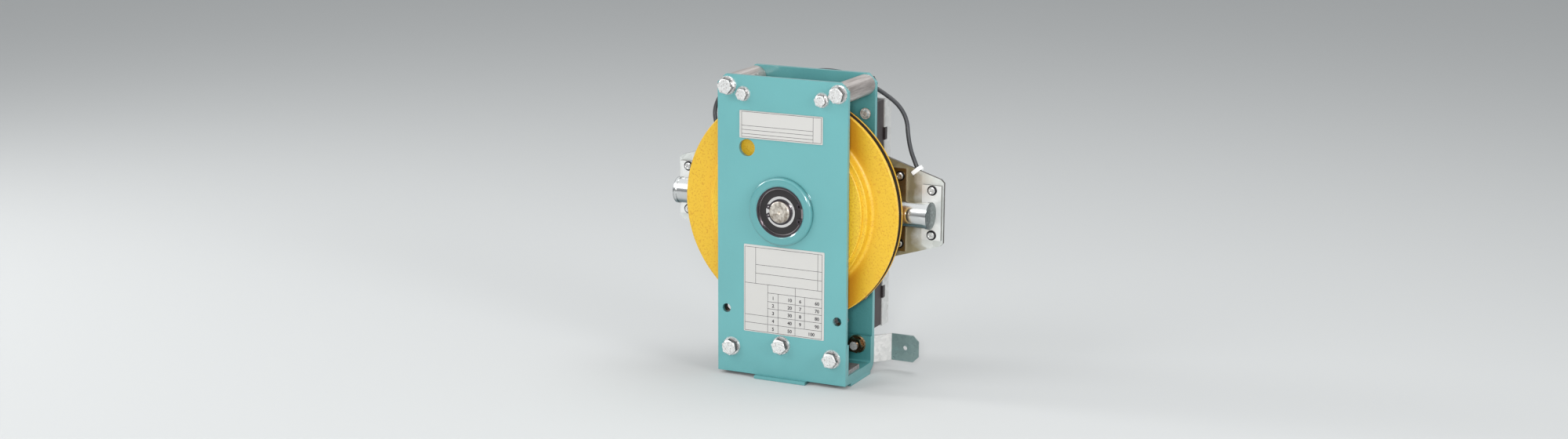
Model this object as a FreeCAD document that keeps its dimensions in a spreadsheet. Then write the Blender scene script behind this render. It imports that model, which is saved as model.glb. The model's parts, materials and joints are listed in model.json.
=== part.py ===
# Overspeed governor for a lift: a rope pulley between two plates, with a pair of
# centrifugal weights and a locking wheel behind it, two solenoid-driven pawls and a
# rear box with the encoder. Millimetres, +X right, +Y away from the viewer, +Z up.
# The origin is on the underside of the foot, midway between the two base bolts.

import FreeCAD, Part
import Sketcher
import math
import os

V = FreeCAD.Vector

# driving dimensions
SIZES = {
    # frame
    "plate_width": 130.0,
    "shaft_height": 157.5,
    "front_thickness": 4.0,
    "back_thickness": 5.0,
    "corner_cut": 8.0,
    "top_margin": 10.6,
    "bend_radius": 5.0,
    "foot_thickness": 3.0,
    "foot_setback": 13.0,
    "foot_rear_setback": 8.0,
    "tongue_width": 52.0,
    "tongue_reach": 4.0,
    "bracket_thickness": 3.0,
    "bracket_rear_rise": 33.0,
    "bracket_front_rise": 38.0,
    "clamp_bar_width": 26.0,
    "clamp_bar_depth": 28.0,
    "clamp_bar_thickness": 4.0,
    "base_bolt_inset": 15.0,
    "base_hole_radius": 5.5,
    "bolt_row": 22.0,
    "spacer_radius": 9.75,
    "spacer_inset": 9.8,
    "spacer_clearance": 8.02,
    "guard_pin_radius": 4.0,
    "guard_pin_length": 30.0,
    "guard_pin_inset": 25.8,
    "guard_pin_clearance": 1.55,
    "guard_bore_depth": 15.0,
    "low_bolt_inset": 14.0,
    "low_bolt_rise": 24.3,
    "mid_bolt_rise": 31.1,
    "sight_hole_radius": 8.0,
    "sight_hole_offset": 35.3,
    "sight_hole_rise": 56.0,
    "tapped_radius": 4.2,
    "tapped_inset": 8.9,
    "tapped_rise": 60.3,
    # bearings and housings
    "shaft_radius": 10.0,
    "shaft_front_reach": 6.2,
    "shaft_rear_reach": 1.8,
    "shaft_edge": 0.8,
    "shaft_dimple": 1.6,
    "bearing_radius": 23.5,
    "bearing_width": 14.0,
    "bearing_edge": 0.8,
    "inner_ring_radius": 14.4,
    "outer_ring_inner": 20.9,
    "seal_recess": 0.5,
    "housing_radius": 31.8,
    "housing_front": 5.0,
    "housing_edge": 2.8,
    "housing_mouth": 1.0,
    "housing_seat": 28.0,
    "housing_lip": 1.2,
    "lip_reach": 2.5,
    "bearing_recess": 2.4,
    "rear_housing_radius": 30.0,
    "rear_housing_lip": 2.0,
    "sleeve_wall": 4.0,
    # retaining rings of bearing and shaft
    "ring_thickness": 1.6,
    "ring_groove_depth": 1.2,
    "ring_width": 2.8,
    "ring_gap": 5.5,
    "ring_ear_radius": 2.9,
    "ring_ear_hole": 1.2,
    "ring_ear_inset": 4.0,
    "ring_ear_lift": 7.0,
    "shaft_ring_thickness": 1.2,
    "shaft_ring_width": 1.9,
    "shaft_ring_gap": 1.6,
    "shaft_groove": 0.6,
    "shaft_ear_radius": 2.1,
    "shaft_ear_hole": 0.9,
    "shaft_ear_lift": 4.0,
    # pulley
    "pulley_radius": 107.0,
    "rim_front": 17.6,
    "rim_edge": 0.9,
    "rim_slope_width": 11.0,
    "rim_slope": 1.2,
    "rim_rear_width": 17.0,
    "rim_rear_taper": 2.0,
    "front_flange": 2.5,
    "groove_width": 6.6,
    "rear_flange": 2.8,
    "groove_depth": 10.2,
    "groove_flat": 0.8,
    "disc_front": 9.2,
    "disc_thickness": 9.8,
    "disc_radius": 75.0,
    "disc_edge": 0.6,
    "disc_rear_taper": 3.5,
    "step_width": 4.2,
    "step_height": 3.0,
    "wall_taper": 1.2,
    "web_overlap": 3.0,
    "dish_depth": 3.0,
    "dish_round": 3.0,
    "web_thickness": 6.4,
    "hub_radius": 20.0,
    "hub_recess_width": 6.0,
    "hub_recess_taper": 2.0,
    "hub_clearance": 2.4,
    "key_width": 6.0,
    "key_length": 22.0,
    "key_setback": 4.0,
    "key_depth": 3.5,
    "key_rise": 2.8,
    # flyweights
    "weight_thickness": 9.6,
    "weight_outer": 72.0,
    "weight_inner": 40.0,
    "weight_pivot": 46.0,
    "boss_gap": 0.5,
    "pivot_radius": 4.0,
    "eye_radius": 8.0,
    "eye_wall": 2.0,
    "link_offset": 26.0,
    "link_pin_radius": 2.0,
    "link_eye_radius": 5.5,
    "link_width": 6.0,
    "link_gap": 0.4,
    "link_thickness": 3.2,
    "rivet_rim": 1.4,
    "rivet_height": 1.0,
    "spring_wire": 0.8,
    "spring_gap": 0.1,
    "weight_spring_radius": 9.2,
    "weight_spring_leg": 13.0,
    "pawl_spring_radius": 6.6,
    "pawl_spring_leg": 12.0,
    # pins and the rings that hold pieces on them
    "clip_width": 1.8,
    "clip_thickness": 1.0,
    "clip_space": 2.2,
    "clip_play": 0.2,
    "pin_groove": 0.5,
    "pin_end": 1.9,
    # locking wheel and pawls
    "wheel_radius": 60.0,
    "wheel_thickness": 6.0,
    "tooth_depth": 8.0,
    "gap_root": 13.0,
    "gap_mouth": 19.0,
    "port_radius": 7.0,
    "port_circle": 37.0,
    "wheel_screw_radius": 2.0,
    "wheel_screw_circle": 15.5,
    "wheel_screw_depth": 8.0,
    "wheel_screw_rim": 1.9,
    "pawl_thickness": 5.0,
    "pawl_clearance": 3.0,
    "pawl_stand_off": 16.0,
    "pawl_pivot_drop": 32.0,
    "pawl_tip_width": 8.0,
    "pawl_tip_lift": 1.4,
    "pawl_eye_radius": 8.0,
    "pawl_head_rise": 8.0,
    "pawl_pin_radius": 4.0,
    "pawl_shoulder": 1.2,
    # solenoids and their carrier
    "rim_clearance": 1.0,
    "carrier_margin": 6.5,
    "carrier_tip_half": 31.0,
    "carrier_root_half": 52.0,
    "carrier_thickness": 3.0,
    "carrier_corner": 3.0,
    "pad_thickness": 2.0,
    "pad_half_height": 25.5,
    "pad_margin": 1.6,
    "pad_width": 18.8,
    "pad_screw_inset": 9.9,
    "pad_screw_rise": 20.8,
    "pawl_plate_lead": 12.0,
    "pawl_plate_trail": 22.8,
    "pawl_plate_half": 38.7,
    "plate_screw_inset": 5.8,
    "plate_screw_rise": 31.5,
    "solenoid_radius": 12.5,
    "solenoid_gap": 5.25,
    "solenoid_length": 44.5,
    "solenoid_collar": 3.0,
    "solenoid_step": 0.6,
    "solenoid_bore_end": 3.0,
    "saddle_depth": 6.25,
    "saddle_half": 8.75,
    "plunger_radius": 4.5,
    "plunger_travel": 5.5,
    "plunger_length": 30.0,
    "fork_reach": 5.2,
    "fork_depth": 5.9,
    "fork_gap": 0.3,
    "fork_pin_radius": 1.5,
    "fork_slot_gap": 0.1,
    # trip lever and switch
    "lever_pivot_offset": 30.0,
    "lever_lift": 7.2,
    "lever_gap": 0.5,
    "lever_thickness": 4.0,
    "lever_width": 7.0,
    "lever_eye_wall": 3.0,
    "lever_pin_radius": 3.0,
    "collar_wall": 1.5,
    "finger_rise": 9.9,
    "finger_half": 3.0,
    "trip_gap": 8.8,
    "roller_radius": 4.0,
    "roller_lap": 4.8,
    "roller_play": 0.6,
    "axle_radius": 1.5,
    "axle_reach": 0.9,
    "axle_rim": 0.7,
    "switch_width": 44.0,
    "switch_height": 12.0,
    "switch_front_reach": 2.0,
    "switch_screw_inset": 5.3,
    "switch_screw_radius": 3.0,
    "button_radius": 2.0,
    "button_offset": 8.0,
    "button_gap": 0.3,
    "button_reach": 4.4,
    "button_seat": 5.0,
    # rear box
    "box_drop": 15.3,
    "box_rise": 37.1,
    "box_depth": 33.0,
    "box_sheet": 1.2,
    "lid_depth": 14.5,
    "lid_gap": 0.1,
    "tray_setback": 4.5,
    "box_opening": 20.0,
    "tab_height": 12.0,
    "tab_depth": 6.0,
    "tab_gap": 0.6,
    "high_tab_rise": 63.3,
    "low_tab_rise": 69.8,
    "stud_inset": 9.3,
    "stud_high_margin": 11.4,
    "stud_low_margin": 35.2,
    "stud_radius": 2.5,
    "stud_past_tray": 4.5,
    "box_nut_radius": 4.6,
    "box_nut_height": 3.6,
    "encoder_radius": 22.0,
    "encoder_thickness": 1.6,
    "encoder_hub_wall": 4.0,
    "encoder_hub_length": 5.0,
    "encoder_slot_circle": 17.2,
    "encoder_slot_radius": 2.2,
    "encoder_setback": 6.0,
    "sensor_half": 9.0,
    "sensor_reach": 7.0,
    "sensor_rise": 10.0,
    "sensor_gap": 2.0,
    "sensor_end": 3.0,
    "stub_radius": 5.0,
    "stub_length": 14.0,
    "terminal_length": 64.0,
    "terminal_depth": 14.0,
    "terminal_height": 22.0,
    "terminal_rise": 36.4,
    "terminal_pitch": 8.0,
    "terminal_well_radius": 2.6,
    "terminal_well_depth": 7.0,
    # side bracket
    "strip_thickness": 1.8,
    "strip_height": 25.5,
    "strip_offset": 5.2,
    "strip_lap": 13.3,
    "strip_kick": 11.5,
    "strip_back": 15.0,
    "strip_end": 27.0,
    "strip_corner": 5.5,
    "strip_hole_radius": 2.2,
    # fasteners
    "big_flange_radius": 8.9,
    "big_head_radius": 7.5,
    "big_head_height": 6.5,
    "big_shank_radius": 4.0,
    "small_flange_radius": 7.1,
    "small_head_radius": 5.77,
    "small_head_height": 5.0,
    "small_shank_radius": 3.0,
    "flange_thickness": 1.6,
    "flange_taper": 0.8,
    "crown_height": 0.5,
    "crown_inset": 1.0,
    "crown_taper": 0.6,
    "bolt_reach": 12.0,
    "guard_bolt_reach": 8.0,
    "thread_past_nut": 1.5,
    "weld_nut_wall": 3.2,
    "weld_nut_height": 6.5,
    "screw_radius": 2.0,
    "screw_head_radius": 3.8,
    "screw_washer_radius": 4.6,
    "washer_thickness": 0.8,
    "carrier_screw_inset": 15.6,
    "carrier_screw_rise": 34.0,
    "carrier_head_radius": 4.4,
    "box_head_radius": 4.0,
    "box_washer_radius": 5.2,
    "recess_half": 0.5,
    "recess_depth": 1.1,
    # lead, its ties and its plugs
    "lead_radius": 2.0,
    "lead_stand_off": 2.7,
    "tie_inset": 26.5,
    "tie_drop": 0.4,
    "tie_half": 2.2,
    "tie_reach": 6.4,
    "tie_band": 1.0,
    "tie_slack": 1.9,
    "tie_slot_gap": 0.3,
    "tie_lock_wall": 0.6,
    "tie_lock_depth": 1.9,
    "plug_offset": 8.5,
    "plug_drop": 24.0,
    "plug_width": 14.0,
    "plug_height": 27.0,
    "plug_depth": 8.0,
    "plug_socket": 6.0,
    # running clearances
    "running_gap": 0.08,
}
TEETH = 12


class Dim:
    # a length that carries its value and the sheet formula it comes from
    def __init__(self, value, text):
        self.value = float(value)
        self.text = text

    def __add__(self, other):
        other = dim(other)
        return Dim(self.value + other.value, f"({self.text} + {other.text})")

    def __sub__(self, other):
        other = dim(other)
        return Dim(self.value - other.value, f"({self.text} - {other.text})")

    def __mul__(self, other):
        other = dim(other)
        return Dim(self.value * other.value, f"({self.text} * {other.text})")

    def __truediv__(self, other):
        other = dim(other)
        return Dim(self.value / other.value, f"({self.text} / {other.text})")

    def __neg__(self):
        return Dim(-self.value, f"(0 - {self.text})")

    def __radd__(self, other):
        return dim(other) + self

    def __rsub__(self, other):
        return dim(other) - self

    def __rmul__(self, other):
        return dim(other) * self


def dim(value):
    if isinstance(value, Dim):
        return value
    return Dim(value, f"({float(value)!r})")


def rise_at(radius, x):
    # how far above the centre a point of this radius and this x lies
    square = radius * radius - x * x
    return Dim(math.sqrt(square.value), f"sqrt({square.text})")


class Sheet:
    # the spreadsheet, with every alias readable as a Dim
    def __init__(self, doc):
        self.sheet = doc.addObject("Spreadsheet::Sheet", "Sizes")
        for row, (alias, value) in enumerate(SIZES.items(), start=1):
            self.sheet.set(f"A{row}", alias)
            self.sheet.set(f"B{row}", str(value))
            self.sheet.setAlias(f"B{row}", alias)
        doc.recompute()

    def __getattr__(self, alias):
        return Dim(getattr(self.sheet, alias), f"Sizes.{alias}")


doc = FreeCAD.newDocument("overspeed_governor")
s = Sheet(doc)
nodes = []

# heights and depths that several pieces share; depth is measured from the front plate's face
BASE = s.foot_thickness
SHAFT = BASE + s.shaft_height
HALF = s.plate_width / 2
FRONT_BEARING = s.bearing_recess - s.housing_front
HUB_FRONT = FRONT_BEARING + s.bearing_width
DISC_REAR = s.disc_front + s.disc_thickness
RIM_REAR = s.rim_front + s.front_flange + s.groove_width + s.rear_flange
SOLENOID = RIM_REAR + s.rim_clearance + s.solenoid_radius
PAD = SOLENOID + s.solenoid_radius
CARRIER = PAD + s.pad_thickness
BACK = CARRIER + s.carrier_thickness
DEPTH = BACK + s.back_thickness
REAR_BEARING = DEPTH - s.bearing_width
BASE_TOP = BASE + s.back_thickness
BRACKET_TOP = BASE_TOP + s.bracket_thickness
HUB_REAR = SOLENOID - s.wheel_thickness / 2
WHEEL_REAR = HUB_REAR + s.wheel_thickness
WEIGHT_REAR = HUB_REAR - s.clip_space
WEIGHT = WEIGHT_REAR - s.weight_thickness
LINK = WEIGHT - s.link_gap - s.link_thickness
PAWL = SOLENOID - s.pawl_thickness / 2
LEVER = WHEEL_REAR + s.lever_gap
ROLLER = WEIGHT_REAR - s.roller_lap
TRAY_FLOOR = DEPTH + s.box_sheet
KEY_FRONT = HUB_FRONT + s.key_setback
STUB = DEPTH + s.shaft_ring_thickness + s.shaft_rear_reach
STUB_END = STUB + s.stub_length

# heights above the shaft
ROLLER_RISE = s.weight_outer + s.trip_gap + s.roller_radius
LEVER_RISE = ROLLER_RISE + s.lever_lift
FINGER_RISE = ROLLER_RISE + s.finger_rise
BUTTON_RISE = FINGER_RISE + s.button_gap
SWITCH_RISE = BUTTON_RISE + s.button_reach
BOX_LOW = BASE + s.box_rise

# distances from the centre plane
PAWL_X = s.wheel_radius + s.pawl_stand_off
PIN_X = PAWL_X + s.plunger_travel / 2
SOLENOID_INNER = PIN_X + s.solenoid_gap
SOLENOID_OUTER = SOLENOID_INNER + s.solenoid_length
REACH = SOLENOID_OUTER + s.carrier_margin
PAD_OUTER = REACH - s.pad_margin
PAD_INNER = PAD_OUTER - s.pad_width
PLATE_INNER = PAWL_X - s.pawl_plate_lead
PLATE_OUTER = PAWL_X + s.pawl_plate_trail
SPACER_X = HALF - s.spacer_inset
GUARD_X = HALF - s.guard_pin_inset
TAPPED_X = HALF - s.tapped_inset

# the spacers and guard pins stand just outside the rim; the plates end above the spacers, the
# rear box below their rear bolts
SPACER_RISE = rise_at(s.pulley_radius + s.spacer_clearance + s.spacer_radius, SPACER_X)
GUARD_RISE = rise_at(s.pulley_radius + s.guard_pin_clearance + s.guard_pin_radius, GUARD_X)
TOP = SHAFT + SPACER_RISE + s.top_margin
BOX_RISE = SPACER_RISE - s.box_drop
BOX_TOP = SHAFT + BOX_RISE

# shapes that are fused reach this far into each other; tools reach 1 mm past what they cut
JOIN = 0.2


def node(piece, name):
    piece.Label = name
    nodes.append(piece)
    return piece


def bind(item, prop, value):
    item.setExpression(prop, dim(value).text)


def place(item, x=0, depth=0, z=0, rotation=None):
    if rotation:
        item.Placement = FreeCAD.Placement(V(0, 0, 0), rotation)
    bind(item, "Placement.Base.x", x)
    bind(item, "Placement.Base.y", dim(depth) - s.bolt_row)
    bind(item, "Placement.Base.z", z)
    return item


def block(name, low, high):
    # a box between two corners, each (x, depth, z)
    item = doc.addObject("Part::Box", name)
    low = [dim(value) for value in low]
    high = [dim(value) for value in high]
    bind(item, "Length", high[0] - low[0])
    bind(item, "Width", high[1] - low[1])
    bind(item, "Height", high[2] - low[2])
    return place(item, *low)


ALONG = {
    "x": FreeCAD.Rotation(V(0, 1, 0), 90),
    "y": FreeCAD.Rotation(V(1, 0, 0), -90),
    "z": FreeCAD.Rotation(),
}


def rod(name, radius, length, at, axis="y"):
    item = doc.addObject("Part::Cylinder", name)
    bind(item, "Radius", radius)
    bind(item, "Height", length)
    return place(item, *at, rotation=ALONG[axis])


def cone(name, radius_near, radius_far, length, at, axis="y"):
    item = doc.addObject("Part::Cone", name)
    bind(item, "Radius1", radius_near)
    bind(item, "Radius2", radius_far)
    bind(item, "Height", length)
    return place(item, *at, rotation=ALONG[axis])


def hexagon(name, radius, length, at, turn=0.0):
    item = doc.addObject("Part::Prism", name)
    item.Polygon = 6
    bind(item, "Circumradius", radius)
    bind(item, "Height", length)
    return place(item, *at, rotation=ALONG["y"].multiply(FreeCAD.Rotation(V(0, 0, 1), turn)))


def union(name, *parts):
    item = doc.addObject("Part::MultiFuse", name)
    item.Shapes = list(parts)
    item.Refine = True
    return item


def cut(name, base, *tools):
    tool = tools[0] if len(tools) == 1 else union(f"{name}_tools", *tools)
    item = doc.addObject("Part::Cut", name)
    item.Base = base
    item.Tool = tool
    item.Refine = True
    return item


def group(name, *parts):
    item = doc.addObject("Part::Compound", name)
    item.Links = list(parts)
    return item


def mirrored(name, base):
    # the same piece on the other side of the centre plane
    item = doc.addObject("Part::Mirroring", name)
    item.Source = base
    item.Normal = V(1, 0, 0)
    return item


def origin_part(body, role):
    return next(item for item in body.Origin.OriginFeatures if item.Role == role)


def sketch_in(body, role, name):
    sketch = body.newObject("Sketcher::SketchObject", name)
    sketch.AttachmentSupport = [(origin_part(body, role), "")]
    sketch.MapMode = "FlatFace"
    return sketch


def draw(sketch, points):
    # a closed outline whose corners are all held to the sheet
    points = [(dim(a), dim(b)) for a, b in points]
    first = sketch.GeometryCount
    count = len(points)
    for index, (a, b) in enumerate(points):
        c, d = points[(index + 1) % count]
        sketch.addGeometry(Part.LineSegment(V(a.value, b.value, 0), V(c.value, d.value, 0)))
    for index in range(count):
        after = first + (index + 1) % count
        sketch.addConstraint(Sketcher.Constraint("Coincident", first + index, 2, after, 1))
    for index, (a, b) in enumerate(points):
        for kind, value in (("DistanceX", a), ("DistanceY", b)):
            constraint = Sketcher.Constraint(kind, -1, 1, first + index, 1, value.value)
            number = sketch.addConstraint(constraint)
            sketch.setExpression(f"Constraints[{number}]", value.text)


def circle(sketch, x, z, radius):
    x, z, radius = dim(x), dim(z), dim(radius)
    index = sketch.addGeometry(Part.Circle(V(x.value, z.value, 0), V(0, 0, 1), radius.value))
    for kind, value in (("DistanceX", x), ("DistanceY", z)):
        number = sketch.addConstraint(Sketcher.Constraint(kind, -1, 1, index, 3, value.value))
        sketch.setExpression(f"Constraints[{number}]", value.text)
    number = sketch.addConstraint(Sketcher.Constraint("Radius", index, radius.value))
    sketch.setExpression(f"Constraints[{number}]", radius.text)


def turned_body(name, points, x=0, z=SHAFT, depth=0):
    # a solid of revolution about a fore-and-aft axis; points are (radius, depth)
    body = doc.addObject("PartDesign::Body", name)
    sketch = sketch_in(body, "XY_Plane", f"{name}_profile")
    draw(sketch, points)
    revolution = body.newObject("PartDesign::Revolution", f"{name}_turned")
    revolution.Profile = sketch
    revolution.ReferenceAxis = (sketch, ["V_Axis"])
    revolution.Angle = 360
    sketch.Visibility = False
    return place(body, x, depth, z)


def plate_body(name, outline, depth, thickness, holes=(), x=0, z=0):
    # a flat plate facing forward; outline corners and holes are (x, z) and (x, z, radius)
    body = doc.addObject("PartDesign::Body", name)
    sketch = sketch_in(body, "XZ_Plane", f"{name}_outline")
    draw(sketch, outline)
    for hole in holes:
        circle(sketch, *hole)
    pad = body.newObject("PartDesign::Pad", f"{name}_pad")
    pad.Profile = sketch
    bind(pad, "Length", thickness)
    pad.Reversed = True
    return place(body, x, depth, z)


def dressed(body, kind, prop, value, name, test):
    # fillet or chamfer the edges of a body's last feature that pass the test
    doc.recompute()
    tip = body.Tip
    names = [f"Edge{n}" for n, edge in enumerate(tip.Shape.Edges, start=1) if test(edge)]
    feature = body.newObject(f"PartDesign::{kind}", name)
    feature.Base = (tip, names)
    bind(feature, prop, value)
    return feature


def ring_edge(radius, depth):
    # picks the round edge of this radius at this depth, in a turned body's own frame
    def test(edge):
        curve = edge.Curve
        if not isinstance(curve, Part.Circle):
            return False
        at = curve.Center.y
        return abs(curve.Radius - radius.value) < 0.01 and abs(at - depth.value) < 0.01
    return test


def either(*tests):
    return lambda edge: any(test(edge) for test in tests)


# where the plates are drilled
HIGH_BOLTS = [(side * SPACER_X, SHAFT + SPACER_RISE) for side in (-1, 1)]
GUARD_BOLTS = [(side * GUARD_X, SHAFT + GUARD_RISE) for side in (-1, 1)]
LOW_BOLTS = [(side * (HALF - s.low_bolt_inset), BASE + s.low_bolt_rise) for side in (-1, 1)]
LOW_BOLTS.append((dim(0), BASE + s.mid_bolt_rise))
TAPPED = [(side * TAPPED_X, BASE + s.tapped_rise) for side in (-1, 1)]
BASE_BOLTS = [side * (HALF - s.base_bolt_inset) for side in (-1, 1)]
STUDS = [(side * (HALF - s.stud_inset), z) for side in (-1, 1)
         for z in (BOX_LOW + s.stud_low_margin, BOX_TOP - s.stud_high_margin)]
PAD_SCREWS = [(PAD_INNER + s.pad_screw_inset, side * s.pad_screw_rise) for side in (-1, 1)]
PLATE_SCREWS = [(PLATE_OUTER - s.plate_screw_inset, side * s.plate_screw_rise) for side in (-1, 1)]
CARRIER_SCREWS = [(side * (HALF - s.carrier_screw_inset), SHAFT + lift * s.carrier_screw_rise)
                  for side in (-1, 1) for lift in (-1, 1)]


def plate_outline():
    cut_corner = s.corner_cut
    return [(-HALF, BASE), (HALF, BASE), (HALF, TOP - cut_corner), (HALF - cut_corner, TOP),
            (-HALF + cut_corner, TOP), (-HALF, TOP - cut_corner)]


def frame_pieces():
    holes = [(0, SHAFT, s.housing_seat)]
    holes += [(x, z, s.big_shank_radius) for x, z in HIGH_BOLTS + LOW_BOLTS]
    holes += [(x, z, s.small_shank_radius) for x, z in GUARD_BOLTS]
    holes += [(x, z, s.tapped_radius) for x, z in TAPPED]
    holes.append((-s.sight_hole_offset, SHAFT + s.sight_hole_rise, s.sight_hole_radius))
    front = plate_body("front_plate_body", plate_outline(), 0, s.front_thickness, holes)
    node(front, "front_plate")

    # the back plate is bent forward at the bottom into the base
    body = doc.addObject("PartDesign::Body", "back_plate_body")
    sketch = sketch_in(body, "YZ_Plane", "back_plate_profile")
    draw(sketch, [(s.front_thickness, BASE), (DEPTH, BASE), (DEPTH, TOP), (BACK, TOP), (BACK, BASE_TOP),
                  (s.front_thickness, BASE_TOP)])
    pad = body.newObject("PartDesign::Pad", "back_plate_pad")
    pad.Profile = sketch
    bind(pad, "Length", s.plate_width)
    pad.Midplane = True

    def bend_edge(depth, z):
        def test(edge):
            low = edge.BoundBox
            along = low.XLength > s.plate_width.value - 0.01
            return along and abs(low.YMin - depth.value) < 0.01 and abs(low.ZMin - z.value) < 0.01
        return test

    dressed(body, "Fillet", "Radius", s.bend_radius + s.back_thickness, "bend_outside",
            bend_edge(DEPTH, BASE))
    dressed(body, "Fillet", "Radius", s.bend_radius, "bend_inside", bend_edge(BACK, BASE_TOP))

    def top_corner(edge):
        low = edge.BoundBox
        through = abs(low.YLength - s.back_thickness.value) < 0.01
        return through and low.ZMin > TOP.value - 0.01 and abs(abs(low.XMin) - HALF.value) < 0.01

    dressed(body, "Chamfer", "Size", s.corner_cut, "top_corners", top_corner)
    place(body)
    through = s.back_thickness + 2
    tools = [rod("back_bore", s.rear_housing_radius, through, (0, BACK - 1, SHAFT))]
    for index, (x, z) in enumerate(HIGH_BOLTS + LOW_BOLTS[:2]):
        tools.append(rod(f"back_bolt_hole_{index}", s.big_shank_radius, through, (x, BACK - 1, z)))
    for index, (x, z) in enumerate(STUDS):
        tools.append(rod(f"stud_hole_{index}", s.stud_radius, through, (x, BACK - 1, z)))
    for index, (x, z) in enumerate(CARRIER_SCREWS):
        tools.append(rod(f"carrier_hole_{index}", s.stud_radius, through, (x, BACK - 1, z)))
    for index, x in enumerate(BASE_BOLTS):
        tools.append(rod(f"base_hole_{index}", s.base_hole_radius, through,
                         (x, s.bolt_row, BASE - 1), "z"))
    node(cut("back_plate_cut", body, *tools), "back_plate")

    # foot plate: set back from the front, with a tongue that reaches past the plate
    rear = DEPTH - s.foot_rear_setback
    foot = union("foot_solid",
                 block("foot_slab", (-HALF, s.foot_setback, 0), (HALF, rear, BASE)),
                 block("foot_tongue", (-s.tongue_width / 2, -s.tongue_reach, 0),
                       (s.tongue_width / 2, s.foot_setback + 1, BASE)))
    holes = [rod(f"foot_hole_{n}", s.base_hole_radius, BASE + 2, (x, s.bolt_row, -1), "z")
             for n, x in enumerate(BASE_BOLTS)]
    node(cut("foot_cut", foot, *holes), "foot_plate")

    # folded bracket inside the base, with a leg against each plate
    front_leg = s.front_thickness + s.bracket_thickness
    rear_leg = BACK - s.bracket_thickness
    folded = union(
        "bracket_solid",
        block("bracket_floor", (-HALF, s.front_thickness, BASE_TOP),
              (HALF, BACK - s.bend_radius, BRACKET_TOP)),
        block("bracket_front", (-HALF, s.front_thickness, BASE_TOP),
              (HALF, front_leg, BASE + s.bracket_front_rise)),
        block("bracket_rear", (-HALF, rear_leg, BASE_TOP + s.bend_radius),
              (HALF, BACK, BASE + s.bracket_rear_rise)),
        bend_piece(rear_leg))
    tools = []
    for index, (x, z) in enumerate(LOW_BOLTS):
        tools.append(rod(f"bracket_front_hole_{index}", s.big_shank_radius, s.bracket_thickness + 2,
                         (x, s.front_thickness - 1, z)))
        if index < 2:
            tools.append(rod(f"bracket_rear_hole_{index}", s.big_shank_radius, s.bracket_thickness + 2,
                             (x, rear_leg - 1, z)))
    for index, x in enumerate(BASE_BOLTS):
        tools.append(rod(f"bracket_hole_{index}", s.base_hole_radius, s.bracket_thickness + 2,
                         (x, s.bolt_row, BASE_TOP - 1), "z"))
    node(cut("bracket_cut", folded, *tools), "base_bracket")

    bars = []
    near = s.bolt_row - s.clamp_bar_depth / 2
    for index, x in enumerate(BASE_BOLTS):
        low = (x - s.clamp_bar_width / 2, near, BRACKET_TOP)
        high = (x + s.clamp_bar_width / 2, near + s.clamp_bar_depth, BRACKET_TOP + s.clamp_bar_thickness)
        hole = rod(f"bar_hole_{index}", s.base_hole_radius, s.clamp_bar_thickness + 2,
                   (x, s.bolt_row, BRACKET_TOP - 1), "z")
        bars.append(cut(f"clamp_bar_{index}", block(f"bar_{index}", low, high), hole))
    node(group("clamp_bar_group", *bars), "clamp_bars")


def bend_piece(rear_leg):
    # the bracket's own rounded corner, which follows the bend of the base
    outer = rod("bracket_bend_outer", s.bend_radius, s.plate_width,
                (-HALF, BACK - s.bend_radius, BASE_TOP + s.bend_radius), "x")
    inner = rod("bracket_bend_inner", s.bend_radius - s.bracket_thickness, s.plate_width + 2,
                (-HALF - 1, BACK - s.bend_radius, BASE_TOP + s.bend_radius), "x")
    corner = block("bracket_bend_corner", (-HALF, BACK - s.bend_radius, BASE_TOP),
                   (HALF, BACK, BASE_TOP + s.bend_radius))
    quarter = doc.addObject("Part::MultiCommon", "bracket_bend_quarter")
    quarter.Shapes = [outer, corner]
    return cut("bracket_bend", quarter, inner)


def spacer_pieces():
    gap = BACK - s.front_thickness
    rods = []
    for index, (x, z) in enumerate(HIGH_BOLTS):
        bar = rod(f"spacer_bar_{index}", s.spacer_radius, gap, (x, s.front_thickness, z))
        bore = rod(f"spacer_bore_{index}", s.big_shank_radius, gap + 2, (x, s.front_thickness - 1, z))
        rods.append(cut(f"spacer_{index}", bar, bore))
    node(group("top_spacer_group", *rods), "top_spacers")

    pins = []
    for index, (x, z) in enumerate(GUARD_BOLTS):
        pin = rod(f"guard_bar_{index}", s.guard_pin_radius, s.guard_pin_length, (x, s.front_thickness, z))
        bore = rod(f"guard_bore_{index}", s.small_shank_radius, s.guard_bore_depth,
                   (x, s.front_thickness - 1, z))
        pins.append(cut(f"guard_pin_{index}", pin, bore))
    node(group("guard_pin_group", *pins), "rope_guard_pins")


def flange_bolt(name, x, z, face, size, shank, facing=-1, turn=0.0):
    # hexagon head on a turned flange; facing -1 looks to the front, +1 to the rear
    flange_radius, head_radius, head_height, shank_radius = size
    flange = s.flange_thickness
    flange_radii = (flange_radius - s.flange_taper, flange_radius)
    crown_radii = (head_radius - s.crown_inset - s.crown_taper, head_radius - s.crown_inset)
    if facing < 0:
        shank_at = face
        flange_at = face - flange
        head_at = face - head_height
        crown_at = head_at - s.crown_height
    else:
        shank_at = face - shank
        flange_at = face
        head_at = face + flange - JOIN
        crown_at = face + head_height
        flange_radii = flange_radii[::-1]
        crown_radii = crown_radii[::-1]
    return union(
        name,
        rod(f"{name}_shank", shank_radius, shank, (x, shank_at, z)),
        cone(f"{name}_flange", *flange_radii, flange, (x, flange_at, z)),
        hexagon(f"{name}_hexagon", head_radius, head_height - flange + JOIN, (x, head_at, z), turn),
        cone(f"{name}_crown", *crown_radii, s.crown_height, (x, crown_at, z)))


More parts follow.
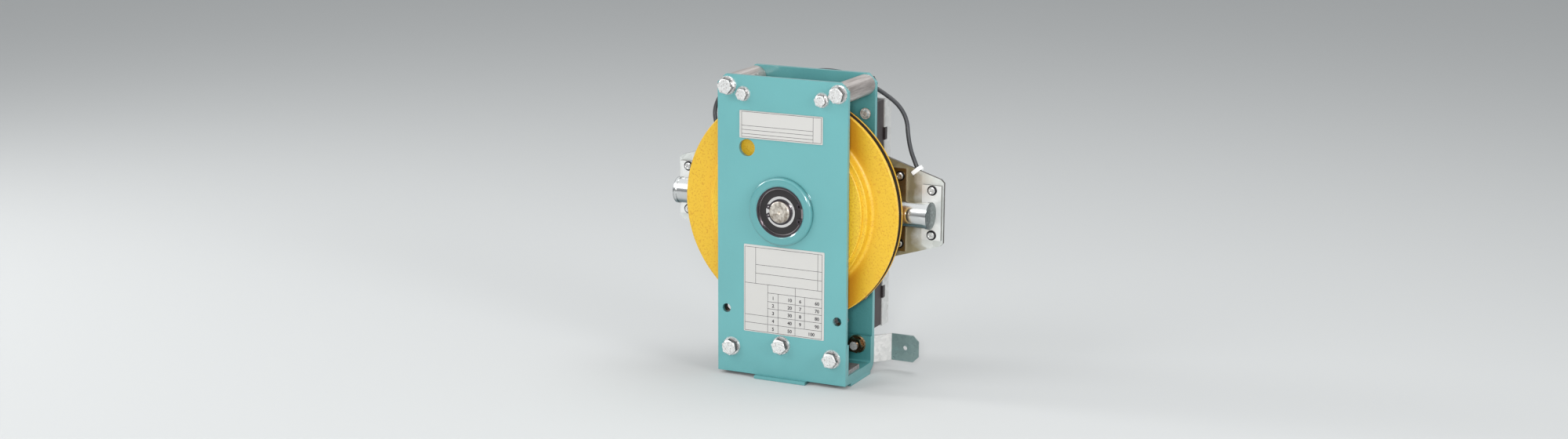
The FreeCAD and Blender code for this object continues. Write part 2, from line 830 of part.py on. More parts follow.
def flange_nut(name, x, z, face, size, facing=-1, turn=0.0):
    flange_radius, head_radius, head_height, shank_radius = size
    flange = s.flange_thickness
    flange_radii = (flange_radius - s.flange_taper, flange_radius)
    start = face - head_height
    flange_at = face - flange
    if facing > 0:
        start = face
        flange_at = face
        flange_radii = flange_radii[::-1]
    solid = union(f"{name}_solid",
                  cone(f"{name}_flange", *flange_radii, flange, (x, flange_at, z)),
                  hexagon(f"{name}_hexagon", head_radius, head_height, (x, start, z), turn))
    return cut(name, solid, rod(f"{name}_bore", shank_radius, head_height + 2, (x, start - 1, z)))


def fastener_pieces():
    big = (s.big_flange_radius, s.big_head_radius, s.big_head_height, s.big_shank_radius)
    small = (s.small_flange_radius, s.small_head_radius, s.small_head_height, s.small_shank_radius)
    leg = s.front_thickness + s.bracket_thickness
    nut_reach = s.big_head_height + s.thread_past_nut
    turns = (8.0, -14.0, 21.0, 3.0, 12.0)
    bolts = []
    for index, (x, z) in enumerate(HIGH_BOLTS):
        bolts.append(flange_bolt(f"high_bolt_{index}", x, z, dim(0), big, s.front_thickness + s.bolt_reach,
                                 turn=turns[index]))
    for index, (x, z) in enumerate(LOW_BOLTS):
        bolts.append(flange_bolt(f"low_bolt_{index}", x, z, dim(0), big, leg + nut_reach,
                                 turn=turns[index + 2]))
    for index, (x, z) in enumerate(GUARD_BOLTS):
        bolts.append(flange_bolt(f"guard_bolt_{index}", x, z, dim(0), small,
                                 s.front_thickness + s.guard_bolt_reach, turn=10.0 * index))
    node(group("front_bolt_group", *bolts), "front_bolts")
    nuts = [flange_nut(f"front_nut_{n}", x, z, leg, big, facing=1, turn=5.0 * n)
            for n, (x, z) in enumerate(LOW_BOLTS)]
    # welded nuts behind the two threaded holes of the front plate
    weld_radius = s.tapped_radius + s.weld_nut_wall
    welded = (weld_radius, weld_radius, s.weld_nut_height, s.tapped_radius)
    nuts += [flange_nut(f"weld_nut_{n}", x, z, s.front_thickness, welded, facing=1)
             for n, (x, z) in enumerate(TAPPED)]
    node(group("front_nut_group", *nuts), "front_nuts")

    rear_leg = BACK - s.bracket_thickness
    rear = [flange_bolt(f"high_rear_bolt_{n}", x, z, DEPTH, big, s.back_thickness + s.bolt_reach, facing=1)
            for n, (x, z) in enumerate(HIGH_BOLTS)]
    # the right-hand bolt also holds the side bracket
    reach = s.back_thickness + s.bracket_thickness + nut_reach
    for index, under in enumerate((dim(0), s.strip_thickness)):
        x, z = LOW_BOLTS[index]
        rear.append(flange_bolt(f"low_rear_bolt_{index}", x, z, DEPTH + under, big, reach + under, facing=1))
    node(group("rear_bolt_group", *rear), "rear_bolts")
    gold = [flange_nut(f"rear_nut_{n}", x, z, rear_leg, big, facing=-1, turn=9.0 * n)
            for n, (x, z) in enumerate(LOW_BOLTS[:2])]
    node(group("rear_nut_group", *gold), "rear_nuts")


def bearing_pieces():
    front = -s.housing_front
    ring_front = FRONT_BEARING - s.ring_thickness
    groove = s.bearing_radius + s.ring_groove_depth
    lip = s.bearing_radius - s.lip_reach
    housing = turned_body("front_housing", [
        (s.bearing_radius + s.housing_mouth, front), (s.housing_radius, front), (s.housing_radius, 0),
        (s.housing_seat, 0), (s.housing_seat, HUB_FRONT + s.housing_lip),
        (lip, HUB_FRONT + s.housing_lip), (lip, HUB_FRONT),
        (s.bearing_radius, HUB_FRONT), (s.bearing_radius, FRONT_BEARING), (groove, FRONT_BEARING),
        (groove, ring_front), (s.bearing_radius, ring_front)])
    dressed(housing, "Fillet", "Radius", s.housing_edge, "housing_round", ring_edge(s.housing_radius, front))
    node(housing, "front_bearing_housing")

    lip_front = REAR_BEARING - s.rear_housing_lip
    rear = turned_body("rear_housing", [
        (lip, lip_front), (s.rear_housing_radius, lip_front), (s.rear_housing_radius, DEPTH),
        (s.bearing_radius, DEPTH), (s.bearing_radius, REAR_BEARING), (lip, REAR_BEARING)])
    node(rear, "rear_bearing_housing")

    rings, seals, inner_rings = [], [], []
    for name, start in (("front", FRONT_BEARING), ("rear", REAR_BEARING)):
        end = start + s.bearing_width
        edge = s.bearing_edge
        outer = turned_body(f"{name}_outer_ring", [
            (s.outer_ring_inner, start), (s.bearing_radius - edge, start), (s.bearing_radius, start + edge),
            (s.bearing_radius, end), (s.outer_ring_inner, end)])
        rings.append(outer)
        seal_bore = s.inner_ring_radius + s.running_gap
        seal = turned_body(f"{name}_seal", [
            (seal_bore, start + s.seal_recess), (s.outer_ring_inner, start + s.seal_recess),
            (s.outer_ring_inner, end - s.seal_recess), (seal_bore, end - s.seal_recess)])
        seals.append(seal)
        inner = turned_body(f"{name}_inner_ring", [
            (s.shaft_radius, start), (s.inner_ring_radius, start), (s.inner_ring_radius, end),
            (s.shaft_radius, end)])
        inner_rings.append(inner)
    node(group("outer_ring_group", *rings), "bearing_outer_rings")
    node(group("seal_group", *seals), "bearing_seals")
    node(group("inner_ring_group", *inner_rings), "bearing_inner_rings")

    # inner circlip in the housing, with its two ears to the right
    thick = s.ring_thickness
    rim = cut("housing_ring_rim",
              rod("housing_ring_outer", groove, thick, (0, ring_front, SHAFT)),
              rod("housing_ring_inner", groove - s.ring_width, thick + 2, (0, ring_front - 1, SHAFT)))
    opening = block("housing_ring_opening", (0, ring_front - 1, SHAFT - s.ring_gap),
                    (groove + 1, FRONT_BEARING + 1, SHAFT + s.ring_gap))
    ears = []
    holes = []
    for side in (-1, 1):
        x = s.bearing_radius - s.ring_ear_inset
        z = SHAFT + side * s.ring_ear_lift
        ears.append(rod(f"housing_ear_{side + 1}", s.ring_ear_radius, thick, (x, ring_front, z)))
        holes.append(rod(f"housing_ear_hole_{side + 1}", s.ring_ear_hole, thick + 2, (x, ring_front - 1, z)))
    solid = union("housing_ring_solid", cut("housing_ring_open", rim, opening), *ears)
    node(cut("housing_ring_cut", solid, *holes), "bearing_circlip")


def shaft_pieces():
    groove = s.shaft_radius - s.shaft_groove
    front = -s.shaft_front_reach
    ring = s.shaft_ring_thickness
    rear_ring = DEPTH + ring
    edge = s.shaft_edge
    dimple = s.shaft_dimple
    shaft = turned_body("shaft_body", [
        (0, front + dimple), (dimple, front), (s.shaft_radius - edge, front), (s.shaft_radius, front + edge),
        (s.shaft_radius, FRONT_BEARING - ring), (groove, FRONT_BEARING - ring), (groove, FRONT_BEARING),
        (s.shaft_radius, FRONT_BEARING), (s.shaft_radius, DEPTH), (groove, DEPTH),
        (groove, rear_ring), (s.shaft_radius, rear_ring), (s.shaft_radius, STUB), (s.stub_radius, STUB),
        (s.stub_radius, STUB_END), (0, STUB_END)])
    half = s.key_width / 2
    key_low = (-half, KEY_FRONT, SHAFT + s.shaft_radius - s.key_depth)
    key_high = (half, KEY_FRONT + s.key_length, SHAFT + s.shaft_radius + s.key_rise)
    node(cut("main_shaft_cut", shaft, block("key_seat", key_low, key_high)), "main_shaft")
    node(block("key_block", key_low, key_high), "shaft_key")

    clips = []
    outer = s.shaft_radius + s.shaft_ring_width
    for name, start, side in (("front", FRONT_BEARING - ring, -1), ("rear", DEPTH, 1)):
        rim = cut(f"{name}_shaft_ring_rim",
                  rod(f"{name}_shaft_ring_outer", outer, ring, (0, start, SHAFT)),
                  rod(f"{name}_shaft_ring_inner", groove, ring + 2, (0, start - 1, SHAFT)))
        low, high = (-outer - 1, 0) if side < 0 else (0, outer + 1)
        gap = block(f"{name}_shaft_ring_gap", (low, start - 1, SHAFT - s.shaft_ring_gap),
                    (high, start + ring + 1, SHAFT + s.shaft_ring_gap))
        ears = []
        holes = [rod(f"{name}_shaft_ring_bore", groove, ring + 2, (0, start - 1, SHAFT))]
        for lift in (-1, 1):
            z = SHAFT + lift * s.shaft_ear_lift
            ears.append(rod(f"{name}_shaft_ear_{lift + 1}", s.shaft_ear_radius, ring, (side * outer, start, z)))
            holes.append(rod(f"{name}_shaft_ear_hole_{lift + 1}", s.shaft_ear_hole, ring + 2,
                             (side * outer, start - 1, z)))
        solid = union(f"{name}_shaft_ring_solid", cut(f"{name}_shaft_ring_open", rim, gap), *ears)
        clips.append(cut(f"{name}_shaft_ring_cut", solid, *holes))
    node(group("shaft_ring_group", *clips), "shaft_circlips")

    sleeve_radius = s.shaft_radius + s.sleeve_wall
    sleeve = turned_body("sleeve", [
        (s.shaft_radius, WHEEL_REAR), (sleeve_radius, WHEEL_REAR), (sleeve_radius, REAR_BEARING),
        (s.shaft_radius, REAR_BEARING)])
    node(sleeve, "shaft_sleeve")


def pulley_pieces():
    # cast pulley: raised stepped disc in front, dished web, grooved rim, hub behind
    step = s.disc_front + s.step_height
    wall = s.disc_radius + s.step_width
    bevel = s.disc_edge
    dish = s.rim_front + s.dish_depth
    dish_radius = wall + s.wall_taper
    web_rear = dish + s.web_thickness
    outer = s.pulley_radius
    edge = s.rim_edge
    groove_floor = outer - s.groove_depth
    groove_front = s.rim_front + s.front_flange
    groove_rear = groove_front + s.groove_width
    rim_inner = outer - s.rim_rear_width
    recess = s.housing_seat + s.hub_recess_width
    recess_floor = HUB_FRONT + s.housing_lip + s.hub_clearance
    disc_corner = s.disc_radius - s.wall_taper
    body = turned_body("pulley_body", [
        (s.shaft_radius, HUB_FRONT), (s.inner_ring_radius, HUB_FRONT), (s.inner_ring_radius, recess_floor),
        (recess, recess_floor), (recess + s.hub_recess_taper, s.disc_front),
        (s.disc_radius - bevel, s.disc_front), (s.disc_radius, s.disc_front + bevel), (s.disc_radius, step),
        (wall - bevel, step), (wall, step + bevel), (dish_radius, dish),
        (outer - s.rim_slope_width, s.rim_front + s.rim_slope), (outer - edge, s.rim_front),
        (outer, s.rim_front + edge), (outer, groove_front), (groove_floor, groove_front),
        (groove_floor, groove_rear), (outer, groove_rear), (outer, RIM_REAR - edge), (outer - edge, RIM_REAR),
        (rim_inner, RIM_REAR), (rim_inner - s.rim_rear_taper, web_rear), (wall + s.web_overlap, web_rear),
        (disc_corner, DISC_REAR + bevel), (disc_corner - s.disc_rear_taper, DISC_REAR),
        (s.hub_radius, DISC_REAR), (s.hub_radius, HUB_REAR), (s.shaft_radius, HUB_REAR)])
    dressed(body, "Fillet", "Radius", s.dish_round, "dish_rounding", ring_edge(dish_radius, dish))
    dressed(body, "Fillet", "Radius", (s.groove_width - s.groove_flat) / 2, "groove_rounding", either(
        ring_edge(groove_floor, groove_front), ring_edge(groove_floor, groove_rear)))
    bosses = []
    tools = [block("pulley_key_slot", (-s.key_width / 2, KEY_FRONT, SHAFT),
                   (s.key_width / 2, HUB_REAR + 1, SHAFT + s.shaft_radius + s.key_rise))]
    seat_depth = WEIGHT - s.boss_gap - DISC_REAR + 1
    for index, side in enumerate((-1, 1)):
        z = SHAFT + side * s.weight_pivot
        bosses.append(rod(f"weight_boss_{index}", s.eye_radius, seat_depth, (0, DISC_REAR - 1, z)))
        tools.append(rod(f"weight_pin_seat_{index}", s.pivot_radius, seat_depth, (0, DISC_REAR + 1, z)))
    tools += wheel_screws("pulley_screw_hole", head=False)
    solid = union("pulley_solid", body, *bosses)
    node(cut("pulley_cut", solid, *tools), "pulley")


def wheel_screws(name, head=True):
    # four countersunk screws hold the locking wheel on the hub
    screws = []
    for index in range(4):
        angle = math.radians(45 + 90 * index)
        x = s.wheel_screw_circle * math.cos(angle)
        z = SHAFT + s.wheel_screw_circle * math.sin(angle)
        shank = rod(f"{name}_shank_{index}", s.wheel_screw_radius, s.wheel_thickness + s.wheel_screw_depth,
                    (x, HUB_REAR - s.wheel_screw_depth, z))
        if not head:
            screws.append(shank)
            continue
        rim = s.wheel_screw_rim
        sink = cone(f"{name}_sink_{index}", s.wheel_screw_radius, s.wheel_screw_radius + rim, rim,
                    (x, WHEEL_REAR - rim, z))
        screws.append(union(f"{name}_{index}", shank, sink))
    return screws


def wheel_pieces():
    body = turned_body("wheel_body", [
        (s.shaft_radius, HUB_REAR), (s.wheel_radius, HUB_REAR), (s.wheel_radius, WHEEL_REAR),
        (s.shaft_radius, WHEEL_REAR)])
    doc.recompute()
    before = body.Shape.Volume
    sketch = sketch_in(body, "XZ_Plane", "tooth_gap")
    root = s.wheel_radius - s.tooth_depth
    draw(sketch, [(root, -s.gap_root / 2), (s.wheel_radius + 1, -s.gap_mouth / 2),
                  (s.wheel_radius + 1, s.gap_mouth / 2), (root, s.gap_root / 2)])
    pocket = body.newObject("PartDesign::Pocket", "tooth_pocket")
    pocket.Profile = sketch
    pocket.Type = 1
    pattern = body.newObject("PartDesign::PolarPattern", "tooth_ring")
    pattern.Originals = [pocket]
    pattern.Axis = (origin_part(body, "Y_Axis"), [""])
    pattern.Angle = 360
    pattern.Occurrences = TEETH
    body.Tip = pattern
    doc.recompute()
    if body.Shape.Volume > before * 0.97:
        raise RuntimeError("the tooth gaps were not cut")
    key_way = block("wheel_key_slot", (-s.key_width / 2, HUB_REAR - 1, SHAFT),
                    (s.key_width / 2, WHEEL_REAR + 1, SHAFT + s.shaft_radius + s.key_rise))
    ports = []
    for index in range(6):
        angle = math.radians(60 * index + 30)
        x = s.port_circle * math.cos(angle)
        z = SHAFT + s.port_circle * math.sin(angle)
        ports.append(rod(f"wheel_port_{index}", s.port_radius, s.wheel_thickness + 2, (x, HUB_REAR - 1, z)))
    tools = [key_way] + ports + wheel_screws("wheel_screw_hole")
    node(cut("locking_wheel_cut", body, *tools), "locking_wheel")
    node(group("wheel_screw_group", *wheel_screws("wheel_screw")), "wheel_screws")


def common(name, *parts):
    item = doc.addObject("Part::MultiCommon", name)
    item.Shapes = list(parts)
    return item


def both_sides(name, right):
    return group(name, right, mirrored(f"{name}_left", right))


def swept(name, path, radius):
    # a round bar along a path of joined lines and arcs
    edge = path.Edges[0]
    start = edge.valueAt(edge.FirstParameter)
    along = edge.tangentAt(edge.FirstParameter)
    section = Part.Wire([Part.makeCircle(radius, start, along)])
    item = doc.addObject("Part::Feature", name)
    item.Shape = Part.Wire(path.Edges).makePipeShell([section], True, True, 2)
    return item


def wire_spring(name, radius, leg, x, depth, z, side):
    # a round wire bent half way round a pin, its two legs side by side; side 1 is bent over the top
    wire = s.spring_wire
    half = doc.addObject("Part::Torus", f"{name}_bend")
    bind(half, "Radius1", radius)
    bind(half, "Radius2", wire)
    half.Angle3 = 180
    turn = ALONG["y"].multiply(FreeCAD.Rotation(V(0, 0, 1), 180 if side > 0 else 0))
    place(half, x, depth, z, rotation=turn)
    legs = []
    for hand in (-1, 1):
        low = z - leg if side > 0 else z
        legs.append(rod(f"{name}_leg_{hand + 1}", wire, leg, (x + hand * radius, depth, low), "z"))
    return union(name, half, *legs)


def weight(letter, side):
    # one crescent weight with its pivot eye and the short arm for the second link
    front = WEIGHT
    thick = s.weight_thickness
    pivot = SHAFT + side * s.weight_pivot
    ring = cut(f"weight_{letter}_ring",
               rod(f"weight_{letter}_outer", s.weight_outer, thick, (0, front, SHAFT)),
               rod(f"weight_{letter}_inner", s.weight_inner, thick + 2, (0, front - 1, SHAFT)))
    spread = s.weight_outer + s.weight_inner
    corners = [(dim(0), SHAFT)]
    for angle in (98, 125, 155, 180, 200):
        turn = math.radians(angle)
        corners.append((side * spread * math.cos(turn), SHAFT + side * spread * math.sin(turn)))
    sector = plate_body(f"weight_{letter}_sector", corners, front, thick)
    arm_half = s.link_eye_radius
    arm_low, arm_high = (0, s.link_offset) if side > 0 else (-s.link_offset, 0)
    solid = union(
        f"weight_{letter}_solid",
        common(f"weight_{letter}_crescent", ring, sector),
        rod(f"weight_{letter}_eye", s.eye_radius + s.eye_wall, thick, (0, front, pivot)),
        block(f"weight_{letter}_arm", (arm_low, front, pivot - arm_half),
              (arm_high, front + thick, pivot + arm_half)),
        rod(f"weight_{letter}_ear", arm_half, thick, (side * s.link_offset, front, pivot)))
    bore = rod(f"weight_{letter}_bore", s.pivot_radius + s.running_gap, thick + 2, (0, front - 1, pivot))
    bored = cut(f"weight_{letter}_cut", solid, bore)
    pins = []
    near = LINK - s.clip_play
    for lift in (-1, 1):
        x = lift * s.link_offset
        pins.append(rod(f"link_pin_{letter}_{lift + 1}", s.link_pin_radius, front + 2 - near,
                        (x, near, pivot)))
        pins.append(rod(f"link_rivet_{letter}_{lift + 1}", s.link_pin_radius + s.rivet_rim, s.rivet_height,
                        (x, near - s.rivet_height, pivot)))
    node(union(f"weight_{letter}_riveted", bored, *pins), f"flyweight_{letter}")


def weight_pieces():
    weight("a", 1)
    weight("b", -1)
    for name, side in (("right", 1), ("left", -1)):
        x = side * s.link_offset
        eyes = []
        holes = []
        for lift in (-1, 1):
            z = SHAFT + lift * s.weight_pivot
            eyes.append(rod(f"link_{name}_eye_{lift + 1}", s.link_eye_radius, s.link_thickness,
                            (x, LINK, z)))
            holes.append(rod(f"link_{name}_hole_{lift + 1}", s.link_pin_radius + s.running_gap,
                             s.link_thickness + 2, (x, LINK - 1, z)))
        bar = block(f"link_{name}_bar", (x - s.link_width / 2, LINK, SHAFT - s.weight_pivot),
                    (x + s.link_width / 2, LINK + s.link_thickness, SHAFT + s.weight_pivot))
        node(cut(f"link_{name}_cut", union(f"link_{name}_solid", bar, *eyes), *holes), f"weight_link_{name}")

    clip_at = WEIGHT_REAR + s.clip_play
    pins = []
    clips = []
    springs = []
    for index, side in enumerate((1, -1)):
        z = SHAFT + side * s.weight_pivot
        pins.append(grooved_pin(f"weight_pin_{index}", s.pivot_radius, DISC_REAR + 1, clip_at, 0, z))
        clips.append(ring_clip(f"weight_clip_{index}", s.pivot_radius, clip_at, 0, z))
        springs.append(wire_spring(f"weight_spring_{index}", s.weight_spring_radius, s.weight_spring_leg,
                                   dim(0), DISC_REAR + s.spring_wire + s.spring_gap, z, side))
    node(group("weight_pin_group", *pins), "weight_pins")
    node(group("weight_clip_group", *clips), "weight_clips")
    node(group("weight_spring_group", *springs), "weight_springs")


def grooved_pin(name, radius, start, groove, x, z, facing=1):
    # a plain pin with a groove for its retaining ring near the end
    neck = radius - s.pin_groove
    wide = facing * s.clip_thickness
    end = groove + facing * (s.pin_end - s.clip_play)
    return turned_body(name, [(0, start), (radius, start), (radius, groove), (neck, groove),
                              (neck, groove + wide), (radius, groove + wide), (radius, end), (0, end)], x, z)


def ring_clip(name, radius, start, x, z):
    # an open retaining ring that sits in a pin's groove
    thick = s.clip_thickness
    rim = cut(f"{name}_rim",
              rod(f"{name}_outer", radius + s.clip_width, thick, (x, start, z)),
              rod(f"{name}_inner", radius - s.pin_groove, thick + 2, (x, start - 1, z)))
    mouth = block(f"{name}_mouth", (x - radius * 0.6, start - 1, z - radius - s.clip_width - 1),
                  (x + radius * 0.6, start + thick + 1, z))
    return cut(name, rim, mouth)


def pawl_pieces():
    rear = PAWL + s.pawl_thickness
    pivot_z = SHAFT - s.pawl_pivot_drop
    tip = s.wheel_radius + s.pawl_clearance
    high = SHAFT + s.pawl_tip_width / 2 + s.pawl_tip_lift
    low = high - s.pawl_tip_width
    top = SHAFT + s.pawl_head_rise
    root = s.pawl_eye_radius - 0.5
    outline = [
        (PAWL_X - root, pivot_z), (PAWL_X + root, pivot_z), (PIN_X + 4.2, SHAFT - 4), (PIN_X + 4.2, top - 3),
        (PIN_X + 2, top), (PAWL_X, top), (PAWL_X - 4, high + 1), (tip, high), (tip, low),
        (PAWL_X - 5, low - 2), (PAWL_X - 3.5, low - 5)]
    blade = plate_body("pawl_blade", outline, PAWL, s.pawl_thickness)
    eye = rod("pawl_eye", s.pawl_eye_radius, s.pawl_thickness, (PAWL_X, PAWL, pivot_z))
    bore = rod("pawl_bore", s.pawl_pin_radius + s.running_gap, s.pawl_thickness + 2,
               (PAWL_X, PAWL - 1, pivot_z))
    slot_half = s.fork_pin_radius + s.fork_slot_gap
    slot = block("pawl_slot", (PIN_X - slot_half, PAWL - 1, SHAFT - s.fork_pin_radius - 0.7),
                 (PIN_X + slot_half, rear + 1, top + 1))
    right = cut("pawl_right_cut", union("pawl_solid", blade, eye), bore, slot)
    node(right, "pawl_right")
    node(mirrored("pawl_left_mirror", right), "pawl_left")

    # pin with a shoulder behind the pawl, riveted through the pawl plate and the carrier
    groove = PAWL - s.clip_play - s.clip_thickness
    start = groove + s.clip_play + s.clip_thickness - s.pin_end
    pin_radius = s.pawl_pin_radius
    neck = pin_radius - s.pin_groove
    shoulder = pin_radius + s.pawl_shoulder
    pin = turned_body("pawl_pin", [
        (0, start), (pin_radius, start), (pin_radius, groove), (neck, groove),
        (neck, groove + s.clip_thickness), (pin_radius, groove + s.clip_thickness),
        (pin_radius, rear + s.clip_play), (shoulder, rear + s.clip_play), (shoulder, PAD), (pin_radius, PAD),
        (pin_radius, BACK), (0, BACK)], PAWL_X, pivot_z)
    lever_z = SHAFT + LEVER_RISE
    lever_pin = grooved_pin("lever_pin", s.lever_pin_radius, BACK, LEVER - s.clip_play,
                            s.lever_pivot_offset, lever_z, facing=-1)
    collar_at = LEVER + s.lever_thickness + s.clip_play
    collar = rod("lever_collar", s.lever_pin_radius + s.collar_wall, CARRIER - collar_at,
                 (s.lever_pivot_offset, collar_at, lever_z))
    lever_solid = union("lever_pin_solid", lever_pin, collar)
    node(group("pivot_pin_group", both_sides("pawl_pin_pair", pin), lever_solid), "pivot_pins")
    pawl_clips = both_sides("pawl_clip_pair", ring_clip("pawl_clip", pin_radius, groove, PAWL_X, pivot_z))
    lever_clip = ring_clip("lever_clip", s.lever_pin_radius, LEVER - s.clip_play - s.clip_thickness,
                           s.lever_pivot_offset, lever_z)
    node(group("pivot_clip_group", pawl_clips, lever_clip), "pivot_clips")
    spring = wire_spring("pawl_spring", s.pawl_spring_radius, s.pawl_spring_leg, PAWL_X,
                         PAD - s.spring_wire - s.spring_gap, pivot_z, -1)
    node(both_sides("pawl_spring_pair", spring), "pawl_springs")

    # plunger with a fork for the pawl and a cross pin
    fork = PIN_X - s.fork_reach
    bar = rod("plunger_bar", s.plunger_radius, s.plunger_length, (fork, SOLENOID, SHAFT), "x")
    cheek = s.pawl_thickness / 2 + s.fork_gap
    mouth = block("plunger_mouth", (fork - 1, SOLENOID - cheek, SHAFT - s.plunger_radius - 1),
                  (PIN_X + s.fork_depth, SOLENOID + cheek, SHAFT + s.plunger_radius + 1))
    pin_half = s.plunger_radius - s.fork_gap
    cross = rod("plunger_cross", s.fork_pin_radius, pin_half * 2, (PIN_X, SOLENOID - pin_half, SHAFT))
    plunger = union("plunger_pinned", cut("plunger_cut", bar, mouth), cross)
    node(plunger, "plunger_right")
    node(mirrored("plunger_left_mirror", plunger), "plunger_left")

    # solenoid body on its saddle
    radius = s.solenoid_radius
    collar = s.solenoid_collar
    barrel = radius - s.solenoid_step
    case = union(
        "solenoid_case",
        rod("solenoid_barrel", barrel, s.solenoid_length, (SOLENOID_INNER, SOLENOID, SHAFT), "x"),
        rod("solenoid_cap", radius, collar, (SOLENOID_OUTER - collar, SOLENOID, SHAFT), "x"),
        rod("solenoid_neck", radius, collar, (SOLENOID_INNER, SOLENOID, SHAFT), "x"),
        block("solenoid_saddle", (PAD_INNER, SOLENOID + s.saddle_depth, SHAFT - s.saddle_half),
              (SOLENOID_OUTER - collar, PAD, SHAFT + s.saddle_half)))
    bore_end = fork + s.plunger_length + s.solenoid_bore_end
    bore = rod("solenoid_bore", s.plunger_radius + s.running_gap, bore_end - SOLENOID_INNER + 1,
               (SOLENOID_INNER - 1, SOLENOID, SHAFT), "x")
    right = cut("solenoid_cut", case, bore)
    node(right, "solenoid_right")
    node(mirrored("solenoid_left_mirror", right), "solenoid_left")


def pan_screw(name, x, z, face, length, head, shank, washer=None):
    # a pan-head screw with a cross recess, its head towards the front; length is counted from the face
    height = head * 0.62
    under = s.washer_thickness if washer else dim(0)
    near = face - height - under
    parts = [cone(f"{name}_head", head * 0.72, head, height, (x, near, z)),
             rod(f"{name}_shank", shank, length + height, (x, face - height, z))]
    if washer:
        parts.append(rod(f"{name}_washer", washer, under, (x, face - under, z)))
    arm = head / 2
    slim = s.recess_half
    floor = near + s.recess_depth
    recess = [block(f"{name}_recess_a", (x - arm, near - 1, z - slim), (x + arm, floor, z + slim)),
              block(f"{name}_recess_b", (x - slim, near - 1, z - arm), (x + slim, floor, z + arm))]
    return cut(name, union(f"{name}_solid", *parts), *recess)


def wing_rise(x):
    # height of a wing's upper edge above the shaft at this distance from the centre plane
    corner = REACH - s.carrier_corner
    return s.carrier_tip_half + (corner - x) * (s.carrier_root_half - s.carrier_tip_half) / (corner - HALF)


def carrier_pieces():
    tip, root = s.carrier_tip_half, s.carrier_root_half
    corner = s.carrier_corner
    right = [(HALF, SHAFT - root), (REACH - corner, SHAFT - tip), (REACH, SHAFT - tip + corner),
             (REACH, SHAFT + tip - corner), (REACH - corner, SHAFT + tip), (HALF, SHAFT + root)]
    outline = right + [(-x, z) for x, z in reversed(right)]
    holes = [(0, SHAFT, s.rear_housing_radius + s.running_gap)]
    holes += [(side * PAWL_X, SHAFT - s.pawl_pivot_drop, s.pawl_pin_radius) for side in (-1, 1)]
    holes += [(x, z, s.stud_radius) for x, z in CARRIER_SCREWS]
    for side in (-1, 1):
        holes += [(side * x, SHAFT + rise, s.screw_radius) for x, rise in PAD_SCREWS + PLATE_SCREWS]
    carrier = plate_body("carrier_body", outline, CARRIER, s.carrier_thickness, holes)
    gap = s.tie_slot_gap
    slots = [tie_box(f"tie_slot_{side + 1}", side, s.tie_half + gap, CARRIER - 1, BACK + 1,
                     -s.tie_reach - gap, -s.tie_reach + s.tie_band + gap) for side in (-1, 1)]
    node(cut("carrier_cut", carrier, *slots), "solenoid_carrier")

    pad = pad_plate("solenoid_pad", PAD_INNER, PAD_OUTER, s.pad_half_height, PAD_SCREWS, [])
    node(both_sides("solenoid_pad_pair", pad), "solenoid_pads")
    pivot = [(PAWL_X, SHAFT - s.pawl_pivot_drop, s.pawl_pin_radius)]
    guard = pad_plate("pawl_plate", PLATE_INNER, PLATE_OUTER, s.pawl_plate_half, PLATE_SCREWS, pivot)
    node(both_sides("pawl_plate_pair", guard), "pawl_plates")

    screws = []
    for index, (x, rise) in enumerate(PAD_SCREWS + PLATE_SCREWS):
        screw = pan_screw(f"pad_screw_{index}", x, SHAFT + rise, PAD, BACK - PAD + 1, s.screw_head_radius,
                          s.screw_radius, s.screw_washer_radius)
        screws += [screw, mirrored(f"pad_screw_{index}_left", screw)]
    node(group("pad_screw_group", *screws), "pad_screws")
    fixing = [pan_screw(f"carrier_screw_{n}", x, z, CARRIER, DEPTH - CARRIER - 0.5, s.carrier_head_radius,
                        s.stud_radius) for n, (x, z) in enumerate(CARRIER_SCREWS)]
    node(group("carrier_screw_group", *fixing), "carrier_screws")


def pad_plate(name, inner, outer, half, screws, extra):
    outline = [(inner, SHAFT - half), (outer, SHAFT - half), (outer, SHAFT + half), (inner, SHAFT + half)]
    holes = [(x, SHAFT + rise, s.screw_radius) for x, rise in screws] + extra
    return plate_body(name, outline, PAD, s.pad_thickness, holes)


# the lead lies behind the wings and is tied to each of them near the upper edge
TIE_X = REACH - s.tie_inset
TIE_RISE = wing_rise(TIE_X) - s.tie_drop
TIE_TILT = -40.0
LEAD = BACK + s.lead_stand_off
PLUG_X = TIE_X + s.plug_offset
PLUG_RISE = TIE_RISE - s.plug_drop


def tie_box(name, side, half_width, near, far, low, high):
    # a box across a wing's upper edge, turned with the tie that runs there
    tilt = TIE_TILT * side
    item = doc.addObject("Part::Box", name)
    bind(item, "Length", 2 * dim(half_width))
    bind(item, "Width", dim(far) - near)
    bind(item, "Height", dim(high) - low)
    turn = FreeCAD.Rotation(V(0, 1, 0), 90 + tilt if side > 0 else -90 + tilt)
    corner = turn.multVec(V(-dim(half_width).value, 0, dim(low).value))
    item.Placement = FreeCAD.Placement(V(0, 0, 0), turn)
    bind(item, "Placement.Base.x", side * TIE_X + corner.x)
    bind(item, "Placement.Base.y", dim(near) - s.bolt_row)
    bind(item, "Placement.Base.z", SHAFT + TIE_RISE + corner.z)
    return item


